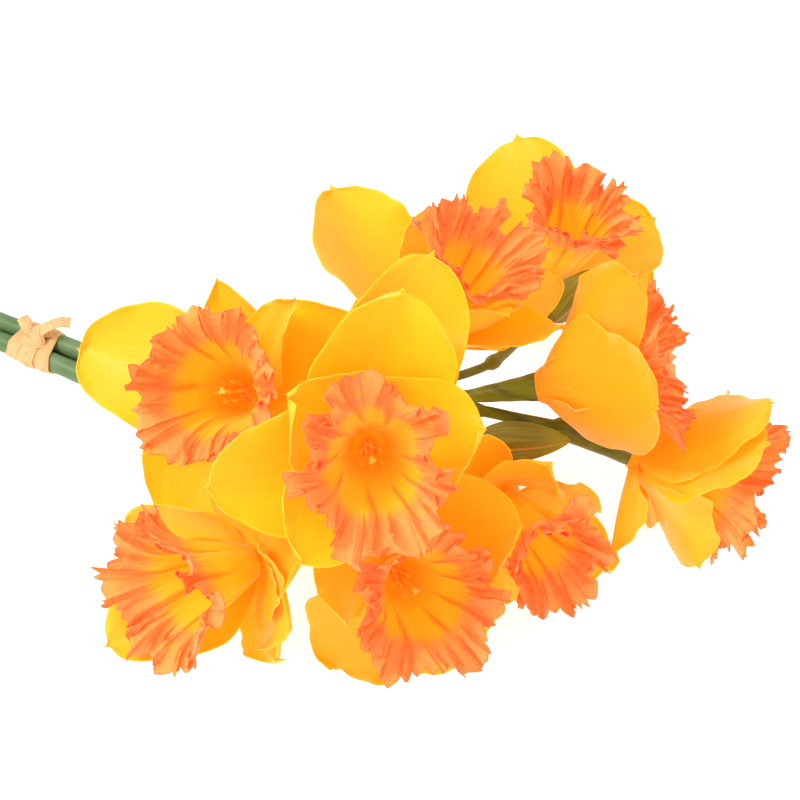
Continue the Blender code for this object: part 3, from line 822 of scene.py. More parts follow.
@dataclass
class Perianth:
    """The six petals of a flower on the hub that they grow from."""

    head: Head
    rows: int = 44
    columns: int = 30
    thickness: float = 0.42
    root_radius: float = 5.0
    root_height: float = -2.0
    ripple: float = 1.5             # height of the edge's broad wave
    narrow: float = 29.0            # petals under this width are slender
    blunt: float = 0.45             # power that rounds a broad petal's outline
    point: float = 0.035            # share by which the tip's middle reaches further
    root_run: float = 0.35          # share of the length over which the root widens
    sway: float = 0.06              # share by which one edge swings out as the other swings in
    midrib: float = 0.40
    dent: float = 1.2               # height of a petal's soft hollows
    crimp: float = 0.95
    fine_crimp: float = 0.40
    hub_top: float = 7.0
    hub_bottom: float = 5.6
    hub_depth: float = 3.6
    table_clearance: float = 0.35

    def half_width(self, tepal: Tepal, s: np.ndarray) -> np.ndarray:
        """Share of a petal's half width: broad and blunt, or slender where the petal is narrow.

        Args:
            tepal: the petal.
            s: share of the length from root to tip.

        Returns:
            The share of the half width there.
        """
        slender = min(1.0, max(0.0, (self.narrow - tepal.width) / 5.0))
        body = np.sin(math.pi * s ** 0.80) ** (self.blunt + 0.35 * slender)
        claw = 0.30 * (1.0 - s) ** 2
        return np.maximum(body, claw) + 0.02

    def surface(self, tepal: Tepal, phase: float, draws: np.ndarray, s: np.ndarray, v: np.ndarray
                ) -> np.ndarray:
        """A petal's surface in the flower's frame.

        Args:
            tepal: the petal.
            phase: where its broad ripple starts.
            draws: random angles for its finer forms.
            s: shares along it.
            v: places across it, from -1 to 1.

        Returns:
            A point for each pair.
        """
        start, bend = math.radians(tepal.lean), math.radians(tepal.curl)
        middle, slope = start + bend * s / 2, start + bend * s
        chord = tepal.length * s * np.sinc(bend * s / TURN) * (1 + self.point * s ** 8 * bell(v, 0.30))
        reach = self.root_radius + chord * np.cos(middle)
        height = self.root_height + chord * np.sin(middle)

        side, wide = np.sign(v), np.abs(v)
        half = tepal.width / 2 * self.half_width(tepal, s)
        half = half * (1 + self.sway * side * np.sin(3 * math.pi * s + draws[0]))
        half = half * (tepal.root + (1 - tepal.root) * np.sin(math.pi / 2 * np.minimum(1, s / self.root_run)))
        hollow = 1.6 * tepal.cup * wide + math.radians(tepal.fold) * np.minimum(1, 3 * wide)
        across = half * v * np.cos(hollow)
        lift = half * wide * np.sin(hollow)
        grow = np.minimum(1, 2.5 * s)
        ripple = self.ripple * (1 + max(0.0, self.narrow - tepal.width) / 8.0)
        lift = lift + ripple * np.sin(2.7 * math.pi * s + phase + 1.9 * side) * wide ** 3 * grow
        lift = lift + self.relief(draws, s, v)
        turn = math.radians(tepal.twist) * s
        across, lift = (across * np.cos(turn) - lift * np.sin(turn),
                        across * np.sin(turn) + lift * np.cos(turn))

        out = reach - lift * np.sin(slope) - self.root_radius
        up = height + lift * np.cos(slope)
        yaw = math.radians(tepal.sweep) * s ** 1.3
        x = self.root_radius + out * np.cos(yaw) - across * np.sin(yaw)
        y = out * np.sin(yaw) + across * np.cos(yaw)
        return np.stack((*turned(x, y, math.radians(tepal.around)), up), axis=1)

    def relief(self, draws: np.ndarray, s: np.ndarray, v: np.ndarray) -> np.ndarray:
        """The finer forms of a petal: its midrib, soft pleats, hollows and a crimped edge.

        Args:
            draws: random angles.
            s: shares along the petal.
            v: places across it.

        Returns:
            How far each point is raised, in millimetres.
        """
        wide, side = np.abs(v), np.sign(v)
        midrib = -self.midrib * bell(v, 0.10) * (1 - s)
        pleats = 0.12 * np.sin(9 * v + draws[1]) + 0.05 * np.sin(17 * v + 2.0 * s + draws[2])
        hollows = self.dent * np.sin(5.0 * s + draws[3]) * np.cos(2.2 * v + draws[4]) * s
        crimp = self.crimp * np.sin(15.0 * s + draws[5] + 2 * side)
        crimp = crimp + self.fine_crimp * np.sin(37.0 * s + draws[6] + side)
        crimp = crimp * wide ** 7 * np.minimum(1, 3 * s)
        tip = 0.4 * np.sin(6.0 * v + draws[7]) * s ** 6
        return midrib + pleats * np.sin(math.pi * s) + hollows + crimp + tip

    def build(self, finish: Material) -> Object:
        """Make the petals and the hub.

        Args:
            finish: their material.

        Returns:
            The piece.
        """
        shape = Shape("along", "across", "tone")
        floor = np.array((-np.inf, -np.inf, self.table_clearance))
        for index, tepal in enumerate(self.head.tepals):
            random = np.random.default_rng(100 * self.head.number + index)
            draws = random.uniform(0, TURN, 8)
            vertices, s, v = shape.grid(self.rows, self.columns)
            points = self.surface(tepal, self.head.number * 1.7 + index, draws, s, v)
            # the tone is the flower's painted shade plus a random difference in colour
            shape.place(vertices, np.maximum(self.head.to_bunch(points), floor), along=s, across=v,
                        tone=self.head.painted_shade + 0.22 * random.uniform())
        self.add_hub(shape)
        return shape.finish(f"petals_{self.head.number}", finish, Slot.TEPAL, f"perianth_{self.head.number}",
                            self.thickness)

    def add_hub(self, shape: Shape) -> None:
        """Add the hub as a turned skin that the petals' roots sink into.

        Args:
            shape: the shape that it joins.
        """
        outline = ((0.2, -0.3), (4.5, -0.3), (self.hub_top - 0.6, -0.5), (self.hub_top - 0.3, -1.1),
                   (self.hub_bottom - 0.1, self.thickness - self.hub_depth),
                   (0.2, self.thickness - self.hub_depth))
        vertices, s, v = shape.grid(len(outline) - 1, 36)
        radius, height = np.array(outline)[np.rint(s * (len(outline) - 1)).astype(int)].T
        turn = (v + 1) * math.pi
        shape.place(vertices, self.head.to_bunch(polar(radius, turn, height)), along=0.0, across=0.0,
                    tone=self.head.painted_shade)


@dataclass
class Corona:
    """The trumpet of a flower, with deep folds and a ruffled, toothed mouth.

    Folds run down the wall. The frill at the mouth has broad curls, ruffles on them and fine pleats on those.
    """

    head: Head
    rows: int = 42
    teeth: int = 62
    thickness: float = 0.45
    throat: float = 5.6
    bowl: float = 13.5
    bowl_power: float = 0.8
    flare: float = 7.4
    flare_power: float = 5.0
    floor_share: float = 0.03
    lobes: tuple = ((0.05, 3), (0.04, 5))               # height and count of the mouth's broad lobes
    fold_spread: tuple = ((0.16, 2), (0.10, 3))         # what spaces the folds unevenly
    frill_spread: tuple = ((0.12, 2), (0.07, 5))        # the same for the frill
    tooth_spread: tuple = ((0.020, 13), (0.015, 22))    # and for the teeth
    folds: int = 9
    fold_height: float = 2.0
    curls: int = 7
    curl_height: float = 4.3
    ruffles: int = 23
    ruffle_height: float = 3.6
    pleats: int = 59
    pleat_height: float = 1.2
    pleats_from: float = 0.45
    frill_from: float = 0.60
    teeth_from: float = 0.92
    tooth: float = 4.4
    mouth_swing: float = 2.8        # how far the curls push the mouth's edge in and out along the wall
    seat: float = 0.6

    def build(self, finish: Material) -> Object:
        """Make the trumpet.

        Args:
            finish: its material.

        Returns:
            The piece.
        """
        shape = Shape("along", "frill", "crease")
        sides = 6 * self.teeth
        vertices, t, v = shape.grid(self.rows, sides)
        step = np.rint((v + 1) / 2 * sides) % sides
        points, frill, crease = self.surface(1 - (1 - t) ** 1.5, step * TURN / sides)
        shape.place(vertices, self.head.to_bunch(points), along=t, frill=frill, crease=crease)
        shape.weld(vertices)
        return shape.finish(f"trumpet_{self.head.number}", finish, Slot.CORONA, f"corona_{self.head.number}",
                            self.thickness)

    def profile(self, s: np.ndarray) -> tuple[np.ndarray, np.ndarray, np.ndarray, np.ndarray]:
        """The plain turned trumpet, before its folds.

        Args:
            s: shares from throat to mouth.

        Returns:
            The radius and the height there, and how far the wall faces outwards and how far it spreads.
        """
        mouth, length = self.head.mouth, self.head.length - self.seat
        radius = mouth * (self.throat + self.bowl * s ** self.bowl_power + self.flare * s ** self.flare_power)
        radius = radius * (0.60 + 0.40 * np.sqrt(ramp_up(s, 0, self.floor_share)))
        height = self.seat + length * (s - 0.10 * s ** 3) / 0.90
        rising = length * (1 - 0.30 * s * s) / 0.90
        spreading = mouth * (self.bowl * self.bowl_power * np.maximum(s, 0.05) ** (self.bowl_power - 1)
                             + self.flare * self.flare_power * s ** (self.flare_power - 1))
        slant = np.hypot(rising, spreading)
        return radius, height, rising / slant, spreading / slant

    def surface(self, s: np.ndarray, f: np.ndarray) -> tuple[np.ndarray, np.ndarray, np.ndarray]:
        """The trumpet's middle surface in the flower's frame.

        Args:
            s: shares from throat to mouth.
            f: angles round it.

        Returns:
            A point for each pair, the share of the ruffled rim there with painted highlights on its ridge
            tops, and the depth of its creases, which sets their darkening, partly painted shade.
        """
        draws = np.random.default_rng(self.head.number).uniform(0, TURN, 8)
        fine = np.random.default_rng(500 + self.head.number).uniform(0, TURN, 16)
        radius, height, out, down = self.profile(s)

        # the mouth is a little oval, lobed and uneven
        lobes = waves(f, self.lobes, draws[4:6])
        lobes = lobes + self.head.oval * np.cos(2 * (f - math.radians(self.head.oval_at)))
        radius = radius * (1 + lobes * s ** 1.5)
        height = height + 1.6 * s * s * np.sin(3 * f + draws[6])

        # unevenly spaced folds press the wall in and out
        warp = f + waves(f, self.fold_spread, draws[0:2]) + 0.05 * np.sin(6 * s)
        fold = np.abs(np.sin(self.folds / 2 * warp + draws[2]))
        press = self.fold_height * (fold ** 0.8 - 0.6) * ramp_up(s, 0, 0.6) ** 1.3

        # the frill: curls, ruffles and pleats at an uneven spacing
        frill = ramp_up(s, self.frill_from, 1 - self.frill_from)
        spaced = f + waves(f, self.frill_spread, fine[0:2]) + 0.08 * frill * np.sin(3 * f + fine[2])
        wild = 0.85 + 0.60 * np.sin(2 * f + fine[5]) * np.sin(5 * f + fine[6])
        curl = self.curls * spaced + fine[3] + 0.8 * frill
        curls = self.curl_height * wild * np.sin(curl) * frill ** 1.8
        beat = self.ruffles / 2 * spaced + fine[14] + 0.5 * np.sin(3.0 * s + fine[4])
        ruffle = np.abs(np.sin(beat))
        swell = self.ruffle_height * wild * (ruffle ** 0.7 - 0.6) * frill
        crimp = self.pleats / 2 * (spaced + 0.03 * np.sin(9 * f + fine[7])) + 1.2 * np.sin(2.6 * s + fine[8])
        pleat = np.abs(np.sin(crimp))
        pleats = self.pleat_height * (pleat ** 0.7 - 0.6) * ramp_up(s, self.pleats_from, 0.4)
        bristle = 0.22 * np.sin(24 * s + 5 * np.sin(7 * f + fine[9])) * np.sin(31 * f + fine[15]) * frill
        lift = press + curls + swell + pleats + bristle
        radius = radius + lift * out
        height = height - lift * down

        # teeth along the edge, and an edge that swings with the curls
        count = self.teeth * (f + waves(f, self.tooth_spread, fine[12:14])) / TURN
        saw = 1 - np.abs(2 * (count % 1) - 1) ** 0.85
        saw = saw * (0.75 + 0.40 * np.sin(4 * f + fine[10]) * np.sin(9 * f + fine[11]))
        edge = ramp_up(s, self.teeth_from, 0.08) ** 1.2 * self.tooth * (saw - 0.5)
        swing = self.mouth_swing * np.sin(self.curls * spaced + fine[12]) + 0.9 * np.sin(16 * f + fine[13])
        edge = edge + frill ** 3 * swing
        radius = radius + edge * down
        height = height + edge * out

        # the frill's waves lean over sideways, so that they overlap
        lean = 0.50 * curls * np.cos(curl) + 0.62 * self.ruffle_height * frill * np.sin(2 * beat)
        lean = lean + 0.65 * self.pleat_height * frill * np.sin(2 * crimp)
        f = f - lean / radius
        # how deep each crease is; it darkens the colour there, partly the trumpet's own deeper orange and
        # partly painted shade
        crease_tone_and_shade = bell(ruffle, 0.45) * frill ** 0.5
        crease_tone_and_shade = np.maximum(crease_tone_and_shade, 0.75 * bell(pleat, 0.30) * ramp_up(s, 0.5, 0.3))
        crease_tone_and_shade = np.maximum(crease_tone_and_shade, 0.75 * (1 - fold) ** 1.6 * ramp_up(s, 0, 0.5))
        # the peach rim is the trumpet's own colour, and it reaches further down the ridge tops of the ruffles
        # and pleats as a painted highlight
        rim = ramp_up(s + 0.08 * ruffle + 0.05 * pleat, self.frill_from + 0.10, 0.16)
        return polar(radius, f, height), rim * rim * (3 - 2 * rim), crease_tone_and_shade


@dataclass
class Pistil:
    """The style with its three-lobed stigma, and six stamens round it."""

    head: Head
    seat_radius: float = 3.1
    seat_top: float = 2.0
    floor: float = 0.6
    style_share: float = 0.56
    style_radii: tuple = (0.85, 0.6, 0.7)
    lobe: tuple = (0.75, 0.75, 0.6)
    stamen_share: float = 0.42
    stamens: int = 6
    stamen_foot: tuple = (2.1, 1.2)             # distance from the axis, and height
    filament_radii: tuple = (0.45, 0.35, 0.3)
    anther: tuple = (0.7, 0.55, 2.9)
    anther_drop: float = 2.2
    lean: float = 5.0

    def build(self, finish: Material) -> Object:
        """Make the pistil and the stamens.

        Args:
            finish: their material.

        Returns:
            The piece.
        """
        shape = Shape()
        self.add_rod(shape, ((0, 0, self.floor), (0, 0, self.seat_top)), (self.seat_radius, 2.4), 24)
        top = self.head.length * self.style_share
        self.add_rod(shape, ((0, 0, 1.0), (0.2, 0.1, top * 0.5), (0, 0, top)), self.style_radii, 14)
        for index in range(3):
            turn = TURN * index / 3
            out = self.lobe[0]
            self.add_bead(shape, (out * math.cos(turn), out * math.sin(turn), top), self.lobe, turn)
        for index in range(self.stamens):
            turn = TURN * (index + 0.5) / self.stamens
            reach = self.head.length * (self.stamen_share + 0.04 * (index % 2))
            out = math.tan(math.radians(self.lean)) * reach
            away, low = self.stamen_foot
            foot = np.array((away * math.cos(turn), away * math.sin(turn), low))
            head = foot + np.array((out * math.cos(turn), out * math.sin(turn), reach - low))
            middle = (foot + head) / 2 + np.array((0, 0, 0.3))
            self.add_rod(shape, (foot, middle, head), self.filament_radii, 10)
            self.add_bead(shape, tuple(head - np.array((0, 0, self.anther_drop))), self.anther, turn)
        return shape.finish(f"stamens_{self.head.number}", finish, Slot.STAMEN, f"pistil_{self.head.number}")

    def add_rod(self, shape: Shape, points: tuple, radii: tuple, sides: int) -> None:
        """Add a closed round rod through points.

        Args:
            shape: the shape that it joins.
            points: its middle line in the flower's frame.
            radii: a radius at each point.
            sides: faces round it.
        """
        line = np.array([tuple(point) for point in points], dtype=float)
        add_tube(shape, self.head.to_bunch(line), np.array(radii), sides)

    def add_bead(self, shape: Shape, centre: tuple, size: Triple, turn: float) -> None:
        """Add a rounded lobe or anther.

        Args:
            shape: the shape that it joins.
            centre: its middle in the flower's frame.
            size: its half width outwards, half width sideways and half height.
            turn: the direction that is outwards.
        """
        made = bmesh.ops.create_icosphere(shape.mesh, subdivisions=3, radius=1.0)["verts"]
        unit = np.array([vertex.co[:] for vertex in made])
        groove = 1 - 0.22 * bell(unit[:, 1], 0.25)
        x, y, z = unit[:, 0] * size[0] * groove, unit[:, 1] * size[1], unit[:, 2] * size[2]
        points = np.stack((*turned(x, y, turn), z), axis=1) + np.array(centre)
        shape.place(made, self.head.to_bunch(points))


def add_tube(shape: Shape, path: np.ndarray, radii: np.ndarray, sides: int, **marks: object) -> None:
    """Add a closed round tube with rounded ends.

    Args:
        shape: the shape that it joins.
        path: the points of its middle line, in the bunch's frame.
        radii: a radius at each point.
        sides: faces round it.
        marks: for each name, a number for each point of the path, or one for all.
    """
    along, side, up = frames_along(path)
    # each end closes over a short dome
    steps = (0.0, 0.35, 0.65, 0.87, 0.98)
    dome = [(math.sqrt(1 - step * step), step) for step in steps]
    end = len(path) - 1
    first = [(0, radii[0] * share, -radii[0] * 0.35 * reach) for share, reach in dome][::-1]
    last = [(end, radii[-1] * share, radii[-1] * 0.35 * reach) for share, reach in dome]
    middle = [(index, radii[index], 0.0) for index in range(1, end)]
    rings = [(0, 0.0, -radii[0] * 0.36), *first, *middle, *last, (end, 0.0, radii[-1] * 0.36)]
    vertices, s, v = shape.grid(len(rings) - 1, sides)
    place, radius, shift = np.array(rings)[np.rint(s * (len(rings) - 1)).astype(int)].T[:, :, None]
    at = place[:, 0].astype(int)
    turn = -(v + 1)[:, None] * math.pi
    ring = np.cos(turn) * side[at] + np.sin(turn) * up[at]
    given = {name: (np.asarray(value)[at] if np.ndim(value) else value) for name, value in marks.items()}
    shape.place(vertices, path[at] + along[at] * shift + radius * ring, **given)
    shape.weld(vertices, 0.002)


# ---- Stems ----

NECK = ((28.0, 2.5), (20.0, 3.3), (11.0, 4.2), (3.9, 5.2))
FAT_NECK = ((31.0, 3.6), (29.0, 4.5), (12.0, 4.7), (3.9, 5.2))


@dataclass(frozen=True)
class Branch:
    """One branch: the flower it carries, the points it passes, the one its collar sits on, and its neck."""

    flower: int
    points: tuple
    collar: int
    neck: tuple = NECK


@dataclass
class Stem:
    """A main stem with its three branches, their collars and the necks behind the flowers."""

    letter: str
    points: tuple
    branches: tuple[Branch, ...]
    radius: float = 3.6
    branch_radius: float = 1.65
    beyond_collar: float = 2.1
    collar_radius: float = 2.8
    collar_length: float = 5.0
    end_taper: float = 12.0         # a main stem narrows over this length before its fork
    floor: float = 0.05
    sides: int = 28
    step: float = 2.5

    def build(self, finish: Material) -> Object:
        """Make the stem.

        Args:
            finish: its material.

        Returns:
            The piece.
        """
        shape = Shape("neck")
        path = np.array([tuple(p) for p in smooth_path(self.points, self.step)])
        left = np.linalg.norm(path - path[-1], axis=1)
        radii = self.radius * np.clip(0.55 + 0.45 * np.sqrt(left / self.end_taper), 0.55, 1.0)
        radii = radii * (1 + 0.012 * np.sin(np.arange(len(path)) * 0.9))
        add_tube(shape, path, radii, self.sides, neck=0.0)
        for branch in self.branches:
            self.add_branch(shape, branch)
        for vertex in shape.mesh.verts:
            vertex.co.z = max(vertex.co.z, self.floor)
        node = f"stem_{self.letter}"
        return shape.finish(f"green_{node}", finish, Slot.STEM, node, sharp=40.0)

    def add_branch(self, shape: Shape, branch: Branch) -> None:
        """Add a branch, thinner up to its collar and thicker beyond it.

        Args:
            shape: the shape that it joins.
            branch: the branch.
        """
        head = HEADS[branch.flower - 1]
        base, axis = Vector(head.base), Vector(head.axes()[:, 2])
        start = base - axis * branch.neck[0][0]
        path = smooth_path((*branch.points, start), self.step)[:-1]
        seat = Vector(branch.points[branch.collar])
        reach = [0.0]
        for before, after in zip(path, path[1:]):
            reach.append(reach[-1] + (after - before).length)
        collar = reach[min(range(len(path)), key=lambda index: (path[index] - seat).length)]
        radii = [self.radius_at(distance - collar) for distance in reach]
        for (behind, low), (nearer, high) in zip(branch.neck, branch.neck[1:]):
            count = max(2, round((behind - nearer) / self.step))
            for index in range(count):
                t = index / count
                path.append(base - axis * (behind + (nearer - behind) * t))
                radii.append(low + (high - low) * (3 * t * t - 2 * t ** 3))
        path.append(base - axis * branch.neck[-1][0])
        radii.append(branch.neck[-1][1])
        line = np.array([tuple(point) for point in path])
        away = np.linalg.norm(line - np.array(head.base), axis=1)
        add_tube(shape, line, np.array(radii), self.sides - 8, neck=np.clip(1.6 - away / 60.0, 0.0, 1.0))

    def radius_at(self, distance: float) -> float:
        """The branch's radius at a distance past the middle of its collar.

        Args:
            distance: the distance, negative before the collar.

        Returns:
            The radius.
        """
        if abs(distance) <= self.collar_length / 2:
            return self.collar_radius - 0.25 * (distance / self.collar_length) ** 2
        return self.branch_radius if distance < 0 else self.beyond_collar


# The points near the tie and along the open branches follow scratch results too, and so does the tie's place.
STEMS = (
    Stem("a", ((-258, -9, 9.6), (-215, -11, 14), (-161, -15, 26), (-142, -16, 29), (-100, -15, 34),
               (-60, -5, 39), (-28, 2, 47)), (
        Branch(6, ((-34, 1, 46), (-22, 4, 46.5), (-15, 7, 48)), 1),
        Branch(7, ((-34, 1, 46), (-12, 5, 53), (4, 12, 57), (16, 22, 58), (22, 34, 54), (25, 56, 46),
                   (25, 72, 28), (20, 81, 10)), 4),
        Branch(8, ((-34, 1, 46), (-12, 2, 56), (6, 5, 61), (20, 9, 64)), 1))),
    Stem("b", ((-262, -17, 9.6), (-215, -19, 14), (-161, -23, 26), (-142, -24, 29), (-100, -26, 33),
               (-66, -24, 37), (-42, -22, 40)), (
        Branch(1, ((-78, -25, 35.5), (-62, -21, 40), (-50, -15, 43)), 1),
        Branch(2, ((-50, -23, 39), (-30, -21, 46), (-14, -19, 56)), 1),
        Branch(3, ((-50, -23, 39), (-34, -33, 38), (-22, -44, 34)), 1))),
    Stem("c", ((-255, -13, 3.4), (-236, -14, 3.4), (-215, -15, 6), (-161, -19, 19.5), (-142, -20, 22.8),
               (-100, -19, 27), (-60, -12, 33), (-24, -8, 40)), (
        Branch(4, ((-32, -9, 38.5), (-14, -15, 40), (0, -27, 33)), 1),
        Branch(5, ((-32, -9, 38.5), (-12, -6, 44), (6, 0, 46), (20, 2, 43)), 2),
        Branch(9, ((-32, -9, 38.5), (-14, -2, 45), (4, 6, 50), (25, 13, 52), (40, 15, 54)), 3, FAT_NECK))),
)


@dataclass
class Spathe:
    """A papery bract that hugs a flower's neck at its root and stands off at its tip."""

    flower: int
    root: tuple
    tip: tuple
    outward: tuple
    width: float
    bow: float = 2.0
    hollow: float = 3.0
    rib: float = 0.45
    rib_at: float = 0.3             # how far the midrib lies off the middle, as a share of the half width
    crimp: float = 0.25
    thickness: float = 0.4

    def build(self, finish: Material) -> Object:
        """Make the bract.

        Args:
            finish: its material.

        Returns:
            The piece.
        """
        root, tip = np.array(self.root, float), np.array(self.tip, float)
        run = (tip - root) / np.linalg.norm(tip - root)
        out = np.array(self.outward) - run * run.dot(self.outward)
        out /= np.linalg.norm(out)
        breadth = np.cross(run, out)
        shape = Shape("along", "across")
        vertices, t, v = shape.grid(40, 22)
        half = self.width / 2 * (0.25 * (1 - t) + np.sin(math.pi * t ** 0.8) ** 0.7 + 0.02)
        rib = self.rib * bell(v - self.rib_at, 0.09)
        crimp = self.crimp * np.sin(21 * t + 2 * np.sign(v)) * np.abs(v) ** 5
        bow = self.bow * np.sin(math.pi * t) - self.hollow * np.abs(v) * half / self.width * 2
        points = (root + (tip - root) * t[:, None] + out * (bow + rib + crimp)[:, None]
                  + breadth * (half * v)[:, None])
        shape.place(vertices, points, along=t, across=v)
        return shape.finish(f"bract_{self.flower}", finish, Slot.SPATHE, f"spathe_{self.flower}",
                            self.thickness)


SPATHES = (
    Spathe(7, (28.6, 73, 33), (37, 90, 50), (0.5, -0.5, 0.6), 13),
    Spathe(5, (30, 2, 48.5), (61, 15, 54), (0.3, -0.7, 0.7), 13),
)


# Points of the knot's two loops and the two tails: sideways, along the stems and up from the knot's middle.
STRANDS = (
    ((-5.5, -3.0, -0.8), (-2.5, -1.5, 1.6), (0.0, 0.5, 2.6), (2.5, 2.5, 1.4), (4.5, 4.0, -0.9)),
    ((-4.5, 3.2, -0.6), (-2.0, 1.6, 2.4), (0.3, 0.0, 3.3), (2.2, -2.0, 2.0), (4.0, -3.6, -0.8)),
    ((0.0, 0.0, 2.2), (3.0, 3.5, 4.8), (5.5, 7.5, 6.6), (7.6, 11.6, 6.2)),
    ((0.0, 0.0, 2.0), (-0.5, -2.8, 3.8), (0.8, -5.2, 4.4), (2.6, -8.0, 4.2)),
)


@dataclass
class RaffiaTie:
    """Flat raffia wound round the stems, with a knot on top and two short tails."""

    at: tuple = (-142.0, -20.0, 27.0)
    along: tuple = (47.0, -3.0, 6.0)
    thickness: float = 0.7
    width: float = 7.8
    wraps: tuple = ((-5.0, 0.0, 0.22), (4.6, 0.1, -0.20), (-0.2, 0.6, 0.05))    # offset, lift and tilt
    strand_half: float = 2.6
    tail_taper: float = 0.15
    knot_rise: float = 1.1
    clearance: float = 0.75
    stem_radius: float = 3.6
    sides: int = 96
    directions: tuple = field(init=False)

    def __post_init__(self) -> None:
        """Work out the tie's side, up and along directions."""
        along = Vector(self.along).normalized()
        side = Vector((0, 0, 1)).cross(along).normalized()
        self.directions = tuple(np.array(d) for d in (side, along.cross(side), along))

    def outline(self, distance: float, turn: np.ndarray) -> np.ndarray:
        """The rounded line that runs round all the stems at a distance from their centres.

        Args:
            distance: the distance.
            turn: directions in which the line is read.

        Returns:
            Side and up distances from the tie's centre.
        """
        side, up, along = self.directions
        centres = []
        for stem in STEMS:
            path = np.array([tuple(p) for p in smooth_path(stem.points, 1.0)]) - np.array(self.at)
            spot = path[np.argmin(np.abs(path @ along))]
            centres.append((spot @ side, spot @ up))
        centres = np.array(centres)
        facing = np.stack((np.cos(turn), np.sin(turn)), axis=1)
        pull = facing @ centres.T
        # a soft choice between the stems rounds the corners where the band leaves one for the next
        share = np.exp(3.0 * (pull - pull.max(axis=1, keepdims=True)))
        share /= share.sum(axis=1, keepdims=True)
        return share @ centres + facing * distance

    def build(self, finish: Material) -> Object:
        """Make the wound bands, the knot and the tails.

        Args:
            finish: their material.

        Returns:
            The piece.
        """
        shape = Shape("along", "across", "tone")
        for index, (offset, lift, tilt) in enumerate(self.wraps):
            self.add_wrap(shape, offset, lift, tilt, index)
        self.add_knot(shape)
        return shape.finish("raffia_wrap", finish, Slot.RAFFIA, "raffia_tie", self.thickness)

    def add_wrap(self, shape: Shape, offset: float, lift: float, tilt: float, index: int) -> None:
        """Add one turn of the flat band.

        Args:
            shape: the shape that it joins.
            offset: where it lies along the stems.
            lift: how far it stands off the stems' own clearance.
            tilt: how much it slants.
            index: its number, for its ripples.
        """
        side, up, along = self.directions
        vertices, s, v = shape.grid(self.sides, 8)
        turn = np.rint(s * self.sides) % self.sides * TURN / self.sides
        spot = self.outline(self.stem_radius + self.clearance + lift, turn)
        pinch = 0.90 + 0.10 * np.sin(turn * 2 + index)
        groove = 0.20 * np.sin(4.2 * v + index) + 0.14 * np.sin(9 * v + 2 * turn) - 0.45 * v ** 4
        spot = spot + np.stack((np.cos(turn), np.sin(turn)), axis=1) * groove[:, None]
        run = offset + v * self.width / 2 * pinch + tilt * spot[:, 0] + 0.35 * np.sin(3 * turn + index)
        points = (np.array(self.at) + spot[:, :1] * side + spot[:, 1:] * up + run[:, None] * along)
        shape.place(vertices, points, along=turn / TURN * 4, across=v, tone=0.2 + 0.3 * index)
        shape.weld(vertices)

    def add_knot(self, shape: Shape) -> None:
        """Add the crossing loops of the knot and its two tails.

        Args:
            shape: the shape that they join.
        """
        side, up, along = self.directions
        crown = self.outline(self.stem_radius + self.clearance, np.array((math.pi / 2,)))[0, 1]
        centre = np.array(self.at) + up * (crown + self.knot_rise) + side
        for index, strand in enumerate(STRANDS):
            line = np.array([tuple(p) for p in smooth_path(strand, 0.5)])
            path = centre + line[:, :1] * side + line[:, 1:2] * along + line[:, 2:] * up
            heading, across, lift = frames_along(path)
            # a flat band lies with its breadth level
            level = np.cross(up, heading)
            level /= np.linalg.norm(level, axis=1, keepdims=True)
            face = np.cross(heading, level)
            vertices, s, v = shape.grid(len(path) - 1, 8)
            row = np.rint(s * (len(path) - 1)).astype(int)
            half = self.strand_half * (1 - self.tail_taper * s * (index > 1))
            curl = 0.9 * v * v + 0.15 * np.sin(7 * v + index)
            points = path[row] + level[row] * (half * v)[:, None] - face[row] * curl[:, None]
            shape.place(vertices, points, along=s * 2, across=v, tone=0.1 + 0.25 * index)


# ---- Studio ----


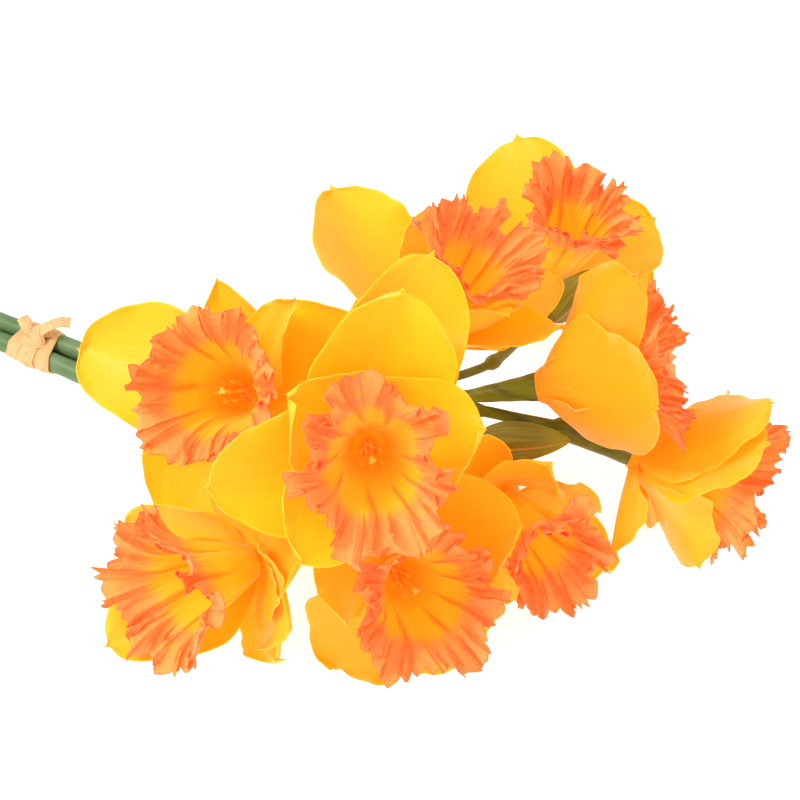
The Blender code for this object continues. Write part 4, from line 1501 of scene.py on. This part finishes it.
@dataclass
class Studio:
    """A pale floor, soft light all round and the camera."""

    azimuth: float = 26.0
    elevation: float = 57.0
    distance: float = 0.95
    lens: float = 118.75
    aim: tuple = (0.0, 0.0, 60.0)
    floor_size: float = 6.0
    floor_drop: float = 0.0002
    floor_tone: float = 0.60
    floor_glow: float = 0.72
    sky: float = 0.85
    lights: tuple = (("key", (-0.75, -0.35, 1.2), 0.45, 12.0), ("fill", (0.7, -1.2, 1.0), 1.2, 4.0))

    def build(self) -> None:
        """Set the camera, the lights and the floor."""
        self.add_camera()
        self.add_floor()
        for light in self.lights:
            self.add_light(*light)
        self.add_sky()
        bpy.context.scene.view_settings.view_transform = "Standard"

    def add_camera(self) -> None:
        """Put the camera where it looks down on the bunch."""
        turn, rise = math.radians(self.azimuth), math.radians(self.elevation)
        back = Vector((math.sin(turn) * math.cos(rise), -math.cos(turn) * math.cos(rise), math.sin(rise)))
        data = bpy.data.cameras.new("camera")
        data.lens = self.lens
        camera = bpy.data.objects.new("camera", data)
        camera.location = (Vector(self.aim) - FRAME_ORIGIN) * MM + back * self.distance
        camera.rotation_mode = "QUATERNION"
        camera.rotation_quaternion = (-back).to_track_quat("-Z", "Y")
        bpy.context.scene.collection.objects.link(camera)
        bpy.context.scene.camera = camera

    def add_floor(self) -> None:
        """Lay the plain pale floor."""
        mesh = bmesh.new()
        bmesh.ops.create_grid(mesh, x_segments=1, y_segments=1, size=self.floor_size / 2)
        bmesh.ops.translate(mesh, vec=(0, 0, -self.floor_drop), verts=mesh.verts)
        data = bpy.data.meshes.new("floor")
        mesh.to_mesh(data)
        mesh.free()
        floor = bpy.data.objects.new("floor", data)
        graph = Graph("floor_white")
        graph.shader.inputs["Base Color"].default_value = (*(self.floor_tone,) * 3, 1.0)
        graph.shader.inputs["Roughness"].default_value = 0.9
        graph.glow((1.0, 1.0, 1.0, 1.0), self.floor_glow)
        data.materials.append(graph.material)
        bpy.context.scene.collection.objects.link(floor)

    def add_light(self, name: str, place: tuple, size: float, power: float) -> None:
        """Add a soft square light that faces the bunch.

        Args:
            name: its name.
            place: where it stands.
            size: its side, in metres.
            power: its power, in watts.
        """
        data = bpy.data.lights.new(name, "AREA")
        data.size = size
        data.energy = power
        light = bpy.data.objects.new(name, data)
        light.location = place
        light.rotation_mode = "QUATERNION"
        light.rotation_quaternion = (Vector((0, 0, 0.05)) - Vector(place)).to_track_quat("-Z", "Y")
        bpy.context.scene.collection.objects.link(light)

    def add_sky(self) -> None:
        """Light the scene evenly from all round."""
        world = bpy.data.worlds.new("studio")
        world.use_nodes = True
        sky = world.node_tree.nodes["Background"]
        sky.inputs["Color"].default_value = (1.0, 1.0, 1.0, 1.0)
        sky.inputs["Strength"].default_value = self.sky
        bpy.context.scene.world = world


def main() -> None:
    """Dress the bunch and light it."""
    logging.basicConfig(level=logging.INFO, format="%(name)s: %(message)s")
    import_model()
    Studio().build()
    petal, trumpet, pollen = TepalFinish().material(), CoronaFinish().material(), PollenFinish().material()
    for head in HEADS:
        for piece in (Perianth(head).build(petal), Corona(head).build(trumpet), Pistil(head).build(pollen)):
            LOG.info("%s: %d faces", piece.name, len(piece.data.polygons))
    green, bract, raffia = StemFinish().material(), SpatheFinish().material(), RaffiaFinish().material()
    for part, finish in (*((stem, green) for stem in STEMS), *((spathe, bract) for spathe in SPATHES),
                         (RaffiaTie(), raffia)):
        piece = part.build(finish)
        LOG.info("%s: %d faces", piece.name, len(piece.data.polygons))


if __name__ == "__main__":
    main()
